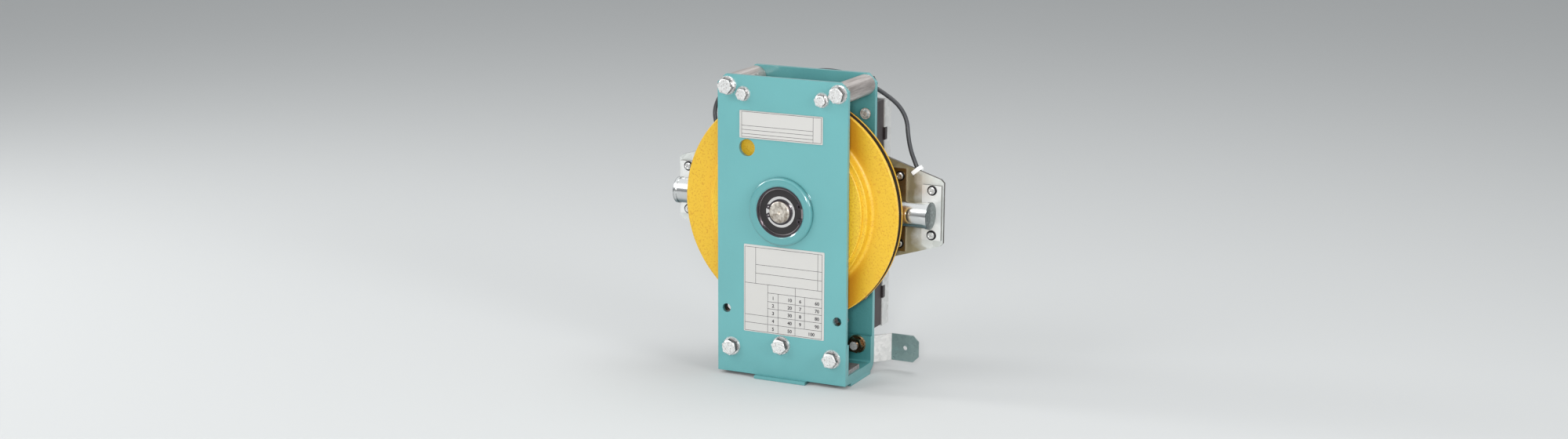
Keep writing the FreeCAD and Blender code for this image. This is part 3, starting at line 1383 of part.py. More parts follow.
def lever_pieces():
    # trip lever behind the pulley, its roller just outside the swung weights, and the safety switch
    pivot_x = s.lever_pivot_offset
    pivot_z = SHAFT + LEVER_RISE
    roller_z = SHAFT + ROLLER_RISE
    thick = s.lever_thickness
    half = s.lever_width / 2
    finger_x = -s.button_offset
    finger_top = SHAFT + FINGER_RISE
    wide = s.finger_half
    heel = finger_x - wide - 3
    outline = [(pivot_x, pivot_z - half), (pivot_x, pivot_z + half), (finger_x + wide, finger_top),
               (finger_x - wide, finger_top), (heel, roller_z + 3), (heel, roller_z - half),
               (0, roller_z - half)]
    blade = plate_body("lever_blade", outline, LEVER, thick)
    eye = rod("lever_eye", half + s.lever_eye_wall, thick, (pivot_x, LEVER, pivot_z))
    bore = rod("lever_bore", s.lever_pin_radius + s.running_gap, thick + 2, (pivot_x, LEVER - 1, pivot_z))
    bored = cut("lever_cut", union("lever_solid", blade, eye), bore)
    axle_end = ROLLER - s.axle_reach
    axle = rod("roller_axle", s.axle_radius, LEVER - axle_end + 1, (0, axle_end, roller_z))
    rim = rod("roller_rivet", s.axle_radius + s.axle_rim, s.axle_rim, (0, axle_end - s.axle_rim, roller_z))
    node(union("lever_riveted", bored, axle, rim), "trip_lever")
    length = LEVER - ROLLER - s.roller_play
    roller = cut("roller_cut", rod("roller_rim", s.roller_radius, length, (0, ROLLER, roller_z)),
                 rod("roller_bore", s.axle_radius, length + 2, (0, ROLLER - 1, roller_z)))
    node(roller, "trip_roller")

    side_x = s.switch_width / 2
    bottom = SHAFT + SWITCH_RISE
    middle = LEVER + thick / 2
    face = LEVER - s.switch_front_reach
    case = block("switch_case", (-side_x, face, bottom), (side_x, BACK, bottom + s.switch_height))
    bore = rod("switch_bore", s.button_radius + s.running_gap, s.switch_height - 2,
               (finger_x, middle, bottom - 1), "z")
    screw_x = side_x - s.switch_screw_inset
    screws = [rod(f"switch_screw_sink_{side + 1}", s.switch_screw_radius, 2.0,
                  (side * screw_x, face - 1, bottom + s.switch_height / 2)) for side in (-1, 1)]
    node(cut("switch_cut", case, bore, *screws), "safety_switch")
    button = rod("switch_button_bar", s.button_radius, s.button_reach + s.button_seat,
                 (finger_x, middle, SHAFT + BUTTON_RISE), "z")
    node(button, "switch_button")


def box_pieces():
    # tray on the back plate and a lid that slips over it
    rear = DEPTH + s.box_depth
    sheet = s.box_sheet
    seam = rear - s.lid_depth
    step = sheet + s.lid_gap
    side_x = HALF - step
    tray_outer = block("tray_outer", (-side_x, DEPTH, BOX_LOW + step),
                       (side_x, rear - s.tray_setback, BOX_TOP - step))
    tray_inner = block("tray_inner", (-side_x + sheet, TRAY_FLOOR, BOX_LOW + step + sheet),
                       (side_x - sheet, rear, BOX_TOP - step - sheet))
    opening = rod("tray_opening", s.box_opening, sheet + 2, (0, DEPTH - 1, SHAFT))
    holes = [rod(f"tray_hole_{n}", s.stud_radius, sheet + 2, (x, DEPTH - 1, z))
             for n, (x, z) in enumerate(STUDS)]
    tray = cut("tray_cut", tray_outer, tray_inner, opening, *holes)
    tabs = []
    notches = []
    gap = s.tab_gap
    for index, middle in enumerate((BASE + s.low_tab_rise, SHAFT + s.high_tab_rise)):
        low = middle - s.tab_height / 2
        high = low + s.tab_height
        notches.append(block(f"lid_notch_{index}", (-HALF - 1, seam - 1, low),
                             (HALF + 1, seam + s.tab_depth, high)))
        for side in (-1, 1):
            near, far = sorted((side * side_x, side * HALF), key=lambda value: value.value)
            tabs.append(block(f"tray_tab_{index}_{side + 1}", (near, seam + gap, low + gap),
                              (far, seam + s.tab_depth - gap, high - gap)))
    node(union("tray_tabbed", tray, *tabs), "box_tray")

    lid_outer = block("lid_outer", (-HALF, seam, BOX_LOW), (HALF, rear, BOX_TOP))
    lid_inner = block("lid_inner", (-HALF + sheet, seam - 1, BOX_LOW + sheet),
                      (HALF - sheet, rear - sheet, BOX_TOP - sheet))
    node(cut("lid_cut", lid_outer, lid_inner, *notches), "box_lid")

    # four screws hold the tray, with their nuts inside it
    screws = []
    nuts = []
    through = s.back_thickness + sheet
    for index, (x, z) in enumerate(STUDS):
        screws.append(pan_screw(f"box_screw_{index}", x, z, BACK, through + s.stud_past_tray, s.box_head_radius,
                                s.stud_radius, s.box_washer_radius))
        nut = hexagon(f"box_nut_{index}", s.box_nut_radius, s.box_nut_height, (x, TRAY_FLOOR, z), 12.0 * index)
        nuts.append(cut(f"box_nut_{index}_cut", nut, rod(f"box_nut_{index}_bore", s.stud_radius,
                                                         s.box_nut_height + 2, (x, TRAY_FLOOR - 1, z))))
    node(group("box_screw_group", *screws), "box_screws")
    node(group("box_nut_group", *nuts), "box_nuts")

    # encoder disc on the shaft's stub, read by a fork on the tray
    disc_at = STUB_END - s.encoder_setback
    disc = union("encoder_solid",
                 rod("encoder_rim", s.encoder_radius, s.encoder_thickness, (0, disc_at, SHAFT)),
                 rod("encoder_hub", s.stub_radius + s.encoder_hub_wall, s.encoder_hub_length,
                     (0, disc_at, SHAFT)))
    tools = [rod("encoder_bore", s.stub_radius, s.encoder_hub_length + 2, (0, disc_at - 1, SHAFT))]
    for number in range(12):
        angle = math.radians(30 * number)
        x = s.encoder_slot_circle * math.cos(angle)
        z = SHAFT + s.encoder_slot_circle * math.sin(angle)
        tools.append(rod(f"encoder_slot_{number}", s.encoder_slot_radius, s.encoder_thickness + 2,
                         (x, disc_at - 1, z)))
    node(cut("encoder_cut", disc, *tools), "encoder_disc")
    half = s.sensor_half
    edge = SHAFT + s.encoder_radius
    fork = block("sensor_block", (-half, TRAY_FLOOR, edge - s.sensor_reach),
                 (half, STUB_END + s.sensor_end, edge + s.sensor_rise))
    mouth = block("sensor_mouth", (-half - 1, disc_at - s.sensor_gap, SHAFT),
                  (half + 1, disc_at + s.encoder_thickness + s.sensor_gap, edge + s.sensor_gap))
    node(cut("sensor_cut", fork, mouth), "encoder_sensor")

    end = s.terminal_length / 2
    low = BOX_LOW + s.terminal_rise
    top = TRAY_FLOOR + s.terminal_depth
    strip = block("terminal_strip", (-end, TRAY_FLOOR, low), (end, top, low + s.terminal_height))
    wells = []
    for number in range(8):
        x = -end + s.terminal_pitch * (number + 0.5)
        wells.append(rod(f"terminal_well_{number}", s.terminal_well_radius, s.terminal_well_depth + 1,
                         (x, top - s.terminal_well_depth, low + s.terminal_height / 2)))
    node(cut("terminal_cut", strip, *wells), "terminal_block")


def side_pieces():
    # strip held by the low right-hand bolt, kicked back and out to the side
    thick = s.strip_thickness
    near = DEPTH
    far = near + s.strip_back
    bolt_x, bolt_z = LOW_BOLTS[1]
    start = bolt_x - s.strip_lap
    fold = HALF + s.strip_kick
    end = fold + s.strip_end
    slant = thick * 0.62
    z = bolt_z - s.strip_offset
    low = z - s.strip_height / 2
    high = z + s.strip_height / 2
    body = doc.addObject("PartDesign::Body", "strip_body")
    sketch = sketch_in(body, "XY_Plane", "strip_profile")
    draw(sketch, [(start, near), (HALF, near), (fold, far), (end, far), (end, far + thick),
                  (fold - slant, far + thick), (HALF - slant, near + thick), (start, near + thick)])
    pad = body.newObject("PartDesign::Pad", "strip_pad")
    pad.Profile = sketch
    bind(pad, "Length", s.strip_height)
    place(body, 0, 0, low)
    corner = s.strip_corner
    face = plate_body("strip_face", [(0, low), (end - corner, low), (end, low + corner), (end, high - corner),
                                     (end - corner, high), (0, high)], near - 1, s.strip_back + thick + 2)
    shaped = common("strip_shaped", body, face)
    holes = [rod("strip_bolt_hole", s.big_shank_radius, thick + 2, (bolt_x, near - 1, bolt_z)),
             rod("strip_end_hole", s.strip_hole_radius, thick + 2, (fold + s.strip_end / 2, far - 1, z))]
    node(cut("strip_cut", shaped, *holes), "side_bracket")


def lead_corners():
    # the lead's corners as (x, depth, height above the shaft): it rises from the right-hand plug,
    # passes over the box and comes down to the left-hand plug
    top = BOX_RISE
    loop = [
        (PLUG_X, LEAD, PLUG_RISE), (TIE_X - 1.5, LEAD, TIE_RISE - 1), (TIE_X - 13, LEAD + 5.3, TIE_RISE + 19.5),
        (TIE_X - 18.9, LEAD + 12.8, top - 8.6), (HALF - 5.5, LEAD + 13.3, top + 10.9),
        (dim(22), LEAD + 10.8, top + 25.4), (dim(-20), LEAD + 10.8, top + 19.4),
        (8 - HALF, LEAD + 13.3, top + 12.9), (-HALF - 22, LEAD + 12, top + 6.9),
        (1 - TIE_X, LEAD + 9.8, top - 18.1), (9 - TIE_X, LEAD + 4.3, TIE_RISE + 15.5),
        (1.5 - TIE_X, LEAD, TIE_RISE - 2), (-PLUG_X, LEAD, PLUG_RISE)]
    return [V(x.value, (depth - s.bolt_row).value, (SHAFT + rise).value) for x, depth, rise in loop]


def rounded_path(points):
    # straight runs joined by arcs that touch them
    edges = []
    at = points[0]
    for index in range(1, len(points) - 1):
        corner = points[index]
        back = points[index - 1] - corner
        ahead = points[index + 1] - corner
        tangent = 0.45 * min(back.Length, ahead.Length)
        half_turn = (math.pi - back.getAngle(ahead)) / 2
        radius = tangent / math.tan(half_turn)
        print(f"lead bend {index}: radius {radius:.1f} mm")
        back.normalize()
        ahead.normalize()
        enter = corner + back * tangent
        leave = corner + ahead * tangent
        inward = (back + ahead).normalize()
        middle = corner + inward * (radius / math.cos(half_turn) - radius)
        edges.append(Part.makeLine(at, enter))
        edges.append(Part.Arc(enter, middle, leave).toShape())
        at = leave
    edges.append(Part.makeLine(at, points[-1]))
    return Part.Wire(edges)


def lead_pieces():
    points = lead_corners()
    path = rounded_path(points)
    cable = swept("lead_bar", path, s.lead_radius.value)
    share = cable.Shape.Volume / (math.pi * s.lead_radius.value ** 2 * path.Length)
    print(f"lead volume against section and length: {share:.3f}")
    node(cable, "solenoid_lead")
    ties = []
    plugs = []
    reach, band = s.tie_reach, s.tie_band
    near = CARRIER - band
    far = LEAD + s.lead_radius + s.tie_slack + band
    plug_top = SHAFT + PLUG_RISE - 1
    for side in (-1, 1):
        outer = tie_box(f"tie_outer_{side + 1}", side, s.tie_half, near, far, -reach, reach)
        inner = tie_box(f"tie_inner_{side + 1}", side, s.tie_half + 1, near + band, far - band,
                        -reach + band, reach - band)
        lock = tie_box(f"tie_lock_{side + 1}", side, s.tie_half + s.tie_lock_wall,
                       near + band / 2 - s.tie_lock_depth, near + band / 2, dim(0.5), reach)
        ties.append(union(f"tie_{side + 1}", cut(f"tie_band_{side + 1}", outer, inner), lock))
        middle = side * PLUG_X
        plug = block(f"plug_{side + 1}", (middle - s.plug_width / 2, BACK, plug_top - s.plug_height),
                     (middle + s.plug_width / 2, BACK + s.plug_depth, plug_top))
        end, before = (points[0], points[1]) if side > 0 else (points[-1], points[-2])
        socket = doc.addObject("Part::Feature", f"plug_socket_{side + 1}")
        socket.Shape = Part.makeCylinder(s.lead_radius.value, s.plug_socket.value, end, before - end)
        plugs.append(cut(f"plug_cut_{side + 1}", plug, socket))
    node(group("tie_group", *ties), "cable_ties")
    node(group("plug_group", *plugs), "lead_connectors")


def build():
    frame_pieces()
    spacer_pieces()
    fastener_pieces()
    bearing_pieces()
    shaft_pieces()
    pulley_pieces()
    wheel_pieces()
    weight_pieces()
    pawl_pieces()
    carrier_pieces()
    lever_pieces()
    box_pieces()
    side_pieces()
    lead_pieces()


def check_and_write():
    doc.recompute()
    for item in doc.Objects:
        if "Invalid" in item.State or "Error" in item.State:
            raise RuntimeError(f"{item.Label} did not compute: {item.State}")
    os.makedirs("parts", exist_ok=True)
    for piece in nodes:
        shape = piece.Shape
        if shape.isNull() or not shape.isValid() or not shape.Solids:
            raise RuntimeError(f"{piece.Label} has no valid solid")
        shape.exportStep(f"parts/{piece.Label}.step")
        box = shape.BoundBox
        print(f"{piece.Label}: {len(shape.Solids)} solids, {shape.Volume / 1000:.2f} cm3, "
              f"x {box.XMin:.1f}..{box.XMax:.1f} y {box.YMin:.1f}..{box.YMax:.1f} "
              f"z {box.ZMin:.1f}..{box.ZMax:.1f}")
    print(len(nodes), "nodes")


build()
check_and_write()
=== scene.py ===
import json
import math
import bpy
from mathutils import Matrix, Vector

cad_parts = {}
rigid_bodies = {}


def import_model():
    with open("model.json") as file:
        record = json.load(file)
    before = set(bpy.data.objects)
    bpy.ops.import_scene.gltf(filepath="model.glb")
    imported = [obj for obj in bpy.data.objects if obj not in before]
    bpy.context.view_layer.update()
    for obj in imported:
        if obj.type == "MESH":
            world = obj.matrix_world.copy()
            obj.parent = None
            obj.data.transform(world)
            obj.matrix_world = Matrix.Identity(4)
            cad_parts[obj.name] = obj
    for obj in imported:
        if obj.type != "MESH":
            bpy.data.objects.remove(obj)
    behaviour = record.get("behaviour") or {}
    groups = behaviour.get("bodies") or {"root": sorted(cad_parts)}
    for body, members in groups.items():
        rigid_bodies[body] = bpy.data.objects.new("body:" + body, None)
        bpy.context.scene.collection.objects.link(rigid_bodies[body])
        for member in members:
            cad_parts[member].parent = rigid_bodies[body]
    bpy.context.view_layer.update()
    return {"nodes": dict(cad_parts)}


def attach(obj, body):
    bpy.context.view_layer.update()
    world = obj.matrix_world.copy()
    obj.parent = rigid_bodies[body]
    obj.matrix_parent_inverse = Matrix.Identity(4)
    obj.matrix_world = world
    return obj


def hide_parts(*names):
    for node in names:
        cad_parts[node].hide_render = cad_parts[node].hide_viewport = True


for thing in list(bpy.data.objects):
    bpy.data.objects.remove(thing)

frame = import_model()
nodes = frame["nodes"]
print("frame loaded:", len(nodes), "nodes")

shaftHeight = 0.1605  # the shaft's axis above the foot, where x is 0
frontFace = -0.022  # y of the front plate's face


# node tools

def link(tree, source, target):
    tree.links.new(source, target)


def addNode(tree, kind, at=(0, 0), **settings):
    made = tree.nodes.new(kind)
    made.location = at
    for name, value in settings.items():
        setattr(made, name, value)
    return made


def addMath(tree, operation, first, second=None, at=(0, 0)):
    made = addNode(tree, "ShaderNodeMath", at, operation=operation)
    for index, value in enumerate((first, second)):
        if value is None:
            continue
        if isinstance(value, (int, float)):
            made.inputs[index].default_value = value
        else:
            link(tree, value, made.inputs[index])
    return made.outputs[0]


def mixColour(tree, mask, first, second, at=(0, 0), blend="MIX"):
    made = addNode(tree, "ShaderNodeMix", at, data_type="RGBA", blend_type=blend)
    if isinstance(mask, (int, float)):
        made.inputs[0].default_value = mask
    else:
        link(tree, mask, made.inputs[0])
    for socket, value in ((made.inputs[6], first), (made.inputs[7], second)):
        if isinstance(value, (tuple, list)):
            socket.default_value = (*value[:3], 1.0)
        else:
            link(tree, value, socket)
    return made.outputs[2]


def remap(tree, value, fromLow, fromHigh, toLow, toHigh, at=(0, 0)):
    made = addNode(tree, "ShaderNodeMapRange", at)
    link(tree, value, made.inputs[0])
    for index, number in enumerate((fromLow, fromHigh, toLow, toHigh), start=1):
        made.inputs[index].default_value = number
    return made.outputs[0]


def startGroup(name, inputs, outputs):
    tree = bpy.data.node_groups.new(name, "ShaderNodeTree")
    for label, kind, value in inputs:
        socket = tree.interface.new_socket(label, in_out="INPUT", socket_type=kind)
        if value is not None:
            socket.default_value = value
    for label, kind in outputs:
        tree.interface.new_socket(label, in_out="OUTPUT", socket_type=kind)
    entry = addNode(tree, "NodeGroupInput", (-900, 0))
    leave = addNode(tree, "NodeGroupOutput", (900, 0))
    return tree, entry.outputs, leave.inputs


def objectCoords(tree, at=(-700, 200)):
    return addNode(tree, "ShaderNodeTexCoord", at).outputs["Object"]


def addNoise(tree, coords, scale, at, detail):
    made = addNode(tree, "ShaderNodeTexNoise", at)
    made.inputs["Scale"].default_value = scale
    made.inputs["Detail"].default_value = detail
    link(tree, coords, made.inputs["Vector"])
    return made.outputs["Fac"]


def splitCoords(tree, at):
    parts = addNode(tree, "ShaderNodeSeparateXYZ", at)
    link(tree, objectCoords(tree, (at[0] - 200, at[1])), parts.inputs[0])
    return parts.outputs


def splitNormal(tree, at):
    parts = addNode(tree, "ShaderNodeSeparateXYZ", at)
    coords = addNode(tree, "ShaderNodeTexCoord", (at[0] - 200, at[1]))
    link(tree, coords.outputs["Normal"], parts.inputs[0])
    return parts.outputs


def addShade(tree, reach, at):
    # 1 in the open and less where other faces within reach shut out the light
    shut = addNode(tree, "ShaderNodeAmbientOcclusion", at, samples=8)
    shut.inputs["Distance"].default_value = reach
    return shut.outputs["AO"]


# effects that several finishes share: waves per metre of their soft clouds, the stretch of a pattern that
# counts, how far it takes the roughness down and up, and the tint of its dark places
effectLook = {
    "paintCloud": 14.0, "paintFrom": (0.3, 0.7), "paintGloss": (-0.03, 0.03), "paintDark": (0.0, 0.0, 0.0),
    "zincCloud": 35.0, "zincFrom": (0.4, 1.6), "zincGloss": (-0.07, 0.10), "zincDark": (0.35, 0.36, 0.36),
    "lineFrom": (0.3, 0.7), "lineGloss": (-0.05, 0.08), "lineDark": (0.30, 0.28, 0.27), "lineRough": 0.65}


def makePaintGroup():
    tree, given, out = startGroup("sprayedPaint", [
        ("Colour", "NodeSocketColor", (0.5, 0.5, 0.5, 1)), ("Shade", "NodeSocketFloat", 0.06),
        ("Grain Scale", "NodeSocketFloat", 900.0), ("Gloss", "NodeSocketFloat", 0.35)],
        [("Colour", "NodeSocketColor"), ("Roughness", "NodeSocketFloat"), ("Height", "NodeSocketFloat")])
    coords = objectCoords(tree)
    cloud = addNoise(tree, coords, effectLook["paintCloud"], (-450, 250), detail=3.0)
    grain = addNode(tree, "ShaderNodeTexNoise", (-450, -50))
    grain.inputs["Detail"].default_value = 2.0
    link(tree, coords, grain.inputs["Vector"])
    link(tree, given["Grain Scale"], grain.inputs["Scale"])
    shade = addMath(tree, "MULTIPLY", cloud, given["Shade"], (-200, 250))
    dark = mixColour(tree, shade, given["Colour"], effectLook["paintDark"], (0, 250), "MULTIPLY")
    link(tree, dark, out["Colour"])
    spread = remap(tree, cloud, *effectLook["paintFrom"], *effectLook["paintGloss"], (-200, 0))
    link(tree, addMath(tree, "ADD", given["Gloss"], spread, (0, 0)), out["Roughness"])
    link(tree, grain.outputs["Fac"], out["Height"])
    return tree


def makeZincGroup():
    # zinc in crystal patches, each a little darker or lighter and duller or brighter than the next
    tree, given, out = startGroup("zincSheet", [
        ("Colour", "NodeSocketColor", (0.7, 0.7, 0.7, 1)), ("Patch Scale", "NodeSocketFloat", 90.0),
        ("Contrast", "NodeSocketFloat", 0.25), ("Gloss", "NodeSocketFloat", 0.32)],
        [("Colour", "NodeSocketColor"), ("Roughness", "NodeSocketFloat"), ("Height", "NodeSocketFloat")])
    coords = objectCoords(tree)
    patch = addNode(tree, "ShaderNodeTexVoronoi", (-450, 250))
    link(tree, coords, patch.inputs["Vector"])
    link(tree, given["Patch Scale"], patch.inputs["Scale"])
    value = addNode(tree, "ShaderNodeSeparateColor", (-250, 250))
    link(tree, patch.outputs["Color"], value.inputs[0])
    cloud = addNoise(tree, coords, effectLook["zincCloud"], (-450, -50), detail=6.0)
    both = addMath(tree, "ADD", value.outputs[0], cloud, (-50, 200))
    amount = addMath(tree, "MULTIPLY", both, given["Contrast"], (120, 200))
    dark = mixColour(tree, amount, given["Colour"], effectLook["zincDark"], (300, 250), "MULTIPLY")
    link(tree, dark, out["Colour"])
    spread = remap(tree, both, *effectLook["zincFrom"], *effectLook["zincGloss"], (120, 0))
    link(tree, addMath(tree, "ADD", given["Gloss"], spread, (300, 0)), out["Roughness"])
    link(tree, cloud, out["Height"])
    return tree


def makeStreakGroup():
    # fine lines along one axis, as rolling, drawing or a lathe tool leaves them
    tree, given, out = startGroup("toolLines", [
        ("Colour", "NodeSocketColor", (0.6, 0.6, 0.6, 1)), ("Stretch", "NodeSocketVector", (1.0, 1.0, 1.0)),
        ("Contrast", "NodeSocketFloat", 0.35), ("Gloss", "NodeSocketFloat", 0.3)],
        [("Colour", "NodeSocketColor"), ("Roughness", "NodeSocketFloat"), ("Height", "NodeSocketFloat")])
    coords = objectCoords(tree)
    stretched = addNode(tree, "ShaderNodeVectorMath", (-550, 150), operation="MULTIPLY")
    link(tree, coords, stretched.inputs[0])
    link(tree, given["Stretch"], stretched.inputs[1])
    lines = addNoise(tree, stretched.outputs[0], 1.0, (-350, 150), detail=5.0)
    lines.node.inputs["Roughness"].default_value = effectLook["lineRough"]
    sharp = remap(tree, lines, *effectLook["lineFrom"], 0.0, 1.0, (-150, 150))
    amount = addMath(tree, "MULTIPLY", sharp, given["Contrast"], (50, 150))
    dark = mixColour(tree, amount, given["Colour"], effectLook["lineDark"], (250, 200), "MULTIPLY")
    link(tree, dark, out["Colour"])
    spread = remap(tree, sharp, 0.0, 1.0, *effectLook["lineGloss"], (50, -50))
    link(tree, addMath(tree, "ADD", given["Gloss"], spread, (250, -50)), out["Roughness"])
    link(tree, sharp, out["Height"])
    return tree


def makeRadiusGroup():
    # distance from a fore-and-aft axis, and how far back a point is
    tree, given, out = startGroup("aboutAxis", [
        ("Centre", "NodeSocketVector", (0.0, 0.0, 0.0))],
        [("Radius", "NodeSocketFloat"), ("Depth", "NodeSocketFloat")])
    offset = addNode(tree, "ShaderNodeVectorMath", (-500, 100), operation="SUBTRACT")
    link(tree, objectCoords(tree), offset.inputs[0])
    link(tree, given["Centre"], offset.inputs[1])
    parts = addNode(tree, "ShaderNodeSeparateXYZ", (-300, 100))
    link(tree, offset.outputs[0], parts.inputs[0])
    across = addMath(tree, "POWER", parts.outputs[0], 2.0, (-100, 150))
    up = addMath(tree, "POWER", parts.outputs[2], 2.0, (-100, -50))
    total = addMath(tree, "ADD", across, up, (100, 100))
    link(tree, addMath(tree, "SQRT", total, None, (300, 100)), out["Radius"])
    link(tree, parts.outputs[1], out["Depth"])
    return tree


paintGroup = makePaintGroup()
zincGroup = makeZincGroup()
streakGroup = makeStreakGroup()
radiusGroup = makeRadiusGroup()


def startMaterial(name):
    made = bpy.data.materials.new(name)
    made.use_nodes = True
    tree = made.node_tree
    shader = tree.nodes["Principled BSDF"]
    return made, tree, shader


def placeGroup(tree, group, at, **values):
    made = addNode(tree, "ShaderNodeGroup", at, node_tree=group)
    for name, value in values.items():
        made.inputs[name.replace("_", " ")].default_value = value
    return made


def addBump(tree, shader, height, strength, distance):
    bump = addNode(tree, "ShaderNodeBump", (-200, -300))
    bump.inputs["Strength"].default_value = strength
    bump.inputs["Distance"].default_value = distance
    link(tree, height, bump.inputs["Height"])
    link(tree, bump.outputs[0], shader.inputs["Normal"])


def groupFinish(name, group, look, metal=0.0):
    # one finish whose colour, gloss and grain all come from a shared effect
    made, tree, shader = startMaterial(name)
    effect = placeGroup(tree, group, (-500, 0), **look["effect"])
    link(tree, effect.outputs["Colour"], shader.inputs["Base Color"])
    link(tree, effect.outputs["Roughness"], shader.inputs["Roughness"])
    shader.inputs["Metallic"].default_value = metal
    addBump(tree, shader, effect.outputs["Height"], look["bump"], look["depth"])
    return made


tealLook = {
    "effect": {"Colour": (0.125, 0.375, 0.385, 1), "Shade": 0.16, "Grain_Scale": 700.0, "Gloss": 0.36},
    "shut": (0.006, 0.075, 0.08), "shutFrom": (0.10, 0.60), "reach": 0.045, "bump": 0.12, "depth": 0.0004,
    "coat": 0.55, "coatGloss": 0.08}
# the inner plates take the same teal with a stronger painted shade that reaches further
innerShadedLook = {
    "effect": tealLook["effect"], "shut": (0.003, 0.085, 0.088), "shutFrom": (0.08, 0.66), "reach": 0.085,
    "bump": 0.12, "depth": 0.0004, "coat": 0.55, "coatGloss": 0.08}
# painted shade lies in a thin dark line at the foot of the boss
bossLook = {
    "effect": {"Colour": (0.085, 0.30, 0.31, 1), "Shade": 0.10, "Grain_Scale": 700.0, "Gloss": 0.30},
    "shut": (0.008, 0.09, 0.10), "shutFrom": (0.42, 0.95), "reach": 0.005, "bump": 0.06, "depth": 0.0003,
    "coat": 1.0, "coatGloss": 0.06}


def makeTealPaint(name, look):
    # sprayed paint with painted shade, darker where the plates close in on it and shut out the light
    made = groupFinish(name, paintGroup, look)
    tree = made.node_tree
    shader = tree.nodes["Principled BSDF"]
    shader.inputs["Coat Weight"].default_value = look["coat"]
    shader.inputs["Coat Roughness"].default_value = look["coatGloss"]
    colour = shader.inputs["Base Color"].links[0].from_socket
    shade = addShade(tree, look["reach"], (-700, 400))
    deep = remap(tree, shade, *look["shutFrom"], 1.0, 0.0, (-500, 400))
    link(tree, mixColour(tree, deep, colour, look["shut"], (-250, 300)), shader.inputs["Base Color"])
    return made


tealPaint = makeTealPaint("tealPaint", tealLook)
innerShadedPaint = makeTealPaint("innerShadedPaint", innerShadedLook)
bossPaint = makeTealPaint("bossPaint", bossLook)

zincLook = {
    "effect": {"Colour": (0.70, 0.70, 0.67, 1), "Patch_Scale": 110.0, "Contrast": 0.30, "Gloss": 0.30},
    "bump": 0.06, "depth": 0.0003}
galvanisedSheet = groupFinish("galvanisedSheet", zincGroup, zincLook, metal=1.0)

goldLook = {
    "effect": {"Colour": (0.64, 0.42, 0.24, 1), "Patch_Scale": 420.0, "Contrast": 0.75, "Gloss": 0.22},
    "bump": 0.05, "depth": 0.0002}
goldZinc = groupFinish("goldZinc", zincGroup, goldLook, metal=1.0)

spacerLook = {
    "effect": {"Colour": (0.76, 0.70, 0.67, 1), "Stretch": (420.0, 26.0, 420.0), "Contrast": 0.80,
               "Gloss": 0.36},
    "bump": 0.25, "depth": 0.0002}
drawnSteel = groupFinish("drawnSteel", streakGroup, spacerLook, metal=0.85)

barLook = {
    "effect": {"Colour": (0.52, 0.47, 0.47, 1), "Stretch": (30.0, 260.0, 260.0), "Contrast": 0.65,
               "Gloss": 0.34},
    "bump": 0.15, "depth": 0.0002}
rolledBar = groupFinish("rolledBar", streakGroup, barLook, metal=0.85)

groundLook = {
    "effect": {"Colour": (0.62, 0.61, 0.60, 1), "Stretch": (90.0, 700.0, 90.0), "Contrast": 0.25,
               "Gloss": 0.28},
    "bump": 0.08, "depth": 0.0002}
groundSteel = groupFinish("groundSteel", streakGroup, groundLook, metal=1.0)

ringLook = {
    "effect": {"Colour": (0.78, 0.77, 0.76, 1), "Stretch": (60.0, 300.0, 60.0), "Contrast": 0.10,
               "Gloss": 0.14},
    "bump": 0.03, "depth": 0.0001}
polishedRing = groupFinish("polishedRing", streakGroup, ringLook, metal=1.0)

outerRingLook = {
    "effect": {"Colour": (0.34, 0.31, 0.32, 1), "Stretch": (90.0, 300.0, 90.0), "Contrast": 0.6,
               "Gloss": 0.22},
    "bump": 0.05, "depth": 0.0001}
outerRingSteel = groupFinish("outerRingSteel", streakGroup, outerRingLook, metal=1.0)

springLook = {
    "effect": {"Colour": (0.09, 0.08, 0.09, 1), "Stretch": (200.0, 200.0, 200.0), "Contrast": 0.25,
               "Gloss": 0.30},
    "bump": 0.05, "depth": 0.0001}
springSteel = groupFinish("springSteel", streakGroup, springLook, metal=1.0)

castLook = {
    "effect": {"Colour": (0.16, 0.16, 0.165, 1), "Shade": 0.35, "Grain_Scale": 500.0, "Gloss": 0.62},
    "bump": 0.5, "depth": 0.0008}
castIron = groupFinish("castIron", paintGroup, castLook, metal=0.6)

rubberLook = {
    "effect": {"Colour": (0.014, 0.012, 0.013, 1), "Shade": 0.2, "Grain_Scale": 900.0, "Gloss": 0.60},
    "bump": 0.15, "depth": 0.0003}
sealRubber = groupFinish("sealRubber", paintGroup, rubberLook)

cableLook = {
    "effect": {"Colour": (0.045, 0.047, 0.052, 1), "Shade": 0.2, "Grain_Scale": 600.0, "Gloss": 0.42},
    "bump": 0.1, "depth": 0.0003}
cableJacket = groupFinish("cableJacket", paintGroup, cableLook)

tieLook = {
    "effect": {"Colour": (0.90, 0.90, 0.89, 1), "Shade": 0.04, "Grain_Scale": 500.0, "Gloss": 0.34},
    "bump": 0.05, "depth": 0.0002}
tieNylon = groupFinish("tieNylon", paintGroup, tieLook)

blackLook = {
    "effect": {"Colour": (0.030, 0.030, 0.032, 1), "Shade": 0.15, "Grain_Scale": 900.0, "Gloss": 0.48},
    "bump": 0.12, "depth": 0.0002}
blackPlastic = groupFinish("blackPlastic", paintGroup, blackLook)

greyLook = {
    "effect": {"Colour": (0.42, 0.43, 0.42, 1), "Shade": 0.08, "Grain_Scale": 900.0, "Gloss": 0.45},
    "bump": 0.12, "depth": 0.0002}
greyPlastic = groupFinish("greyPlastic", paintGroup, greyLook)

redLook = {
    "effect": {"Colour": (0.55, 0.04, 0.03, 1), "Shade": 0.08, "Grain_Scale": 900.0, "Gloss": 0.40},
    "bump": 0.1, "depth": 0.0002}
redPlastic = groupFinish("redPlastic", paintGroup, redLook)
print("shared finishes made")


# metals whose tone changes with the place or the way a face looks; most of these changes are painted shade

def zincEffect(tree, look):
    return placeGroup(tree, zincGroup, (-700, 300), **look["effect"])


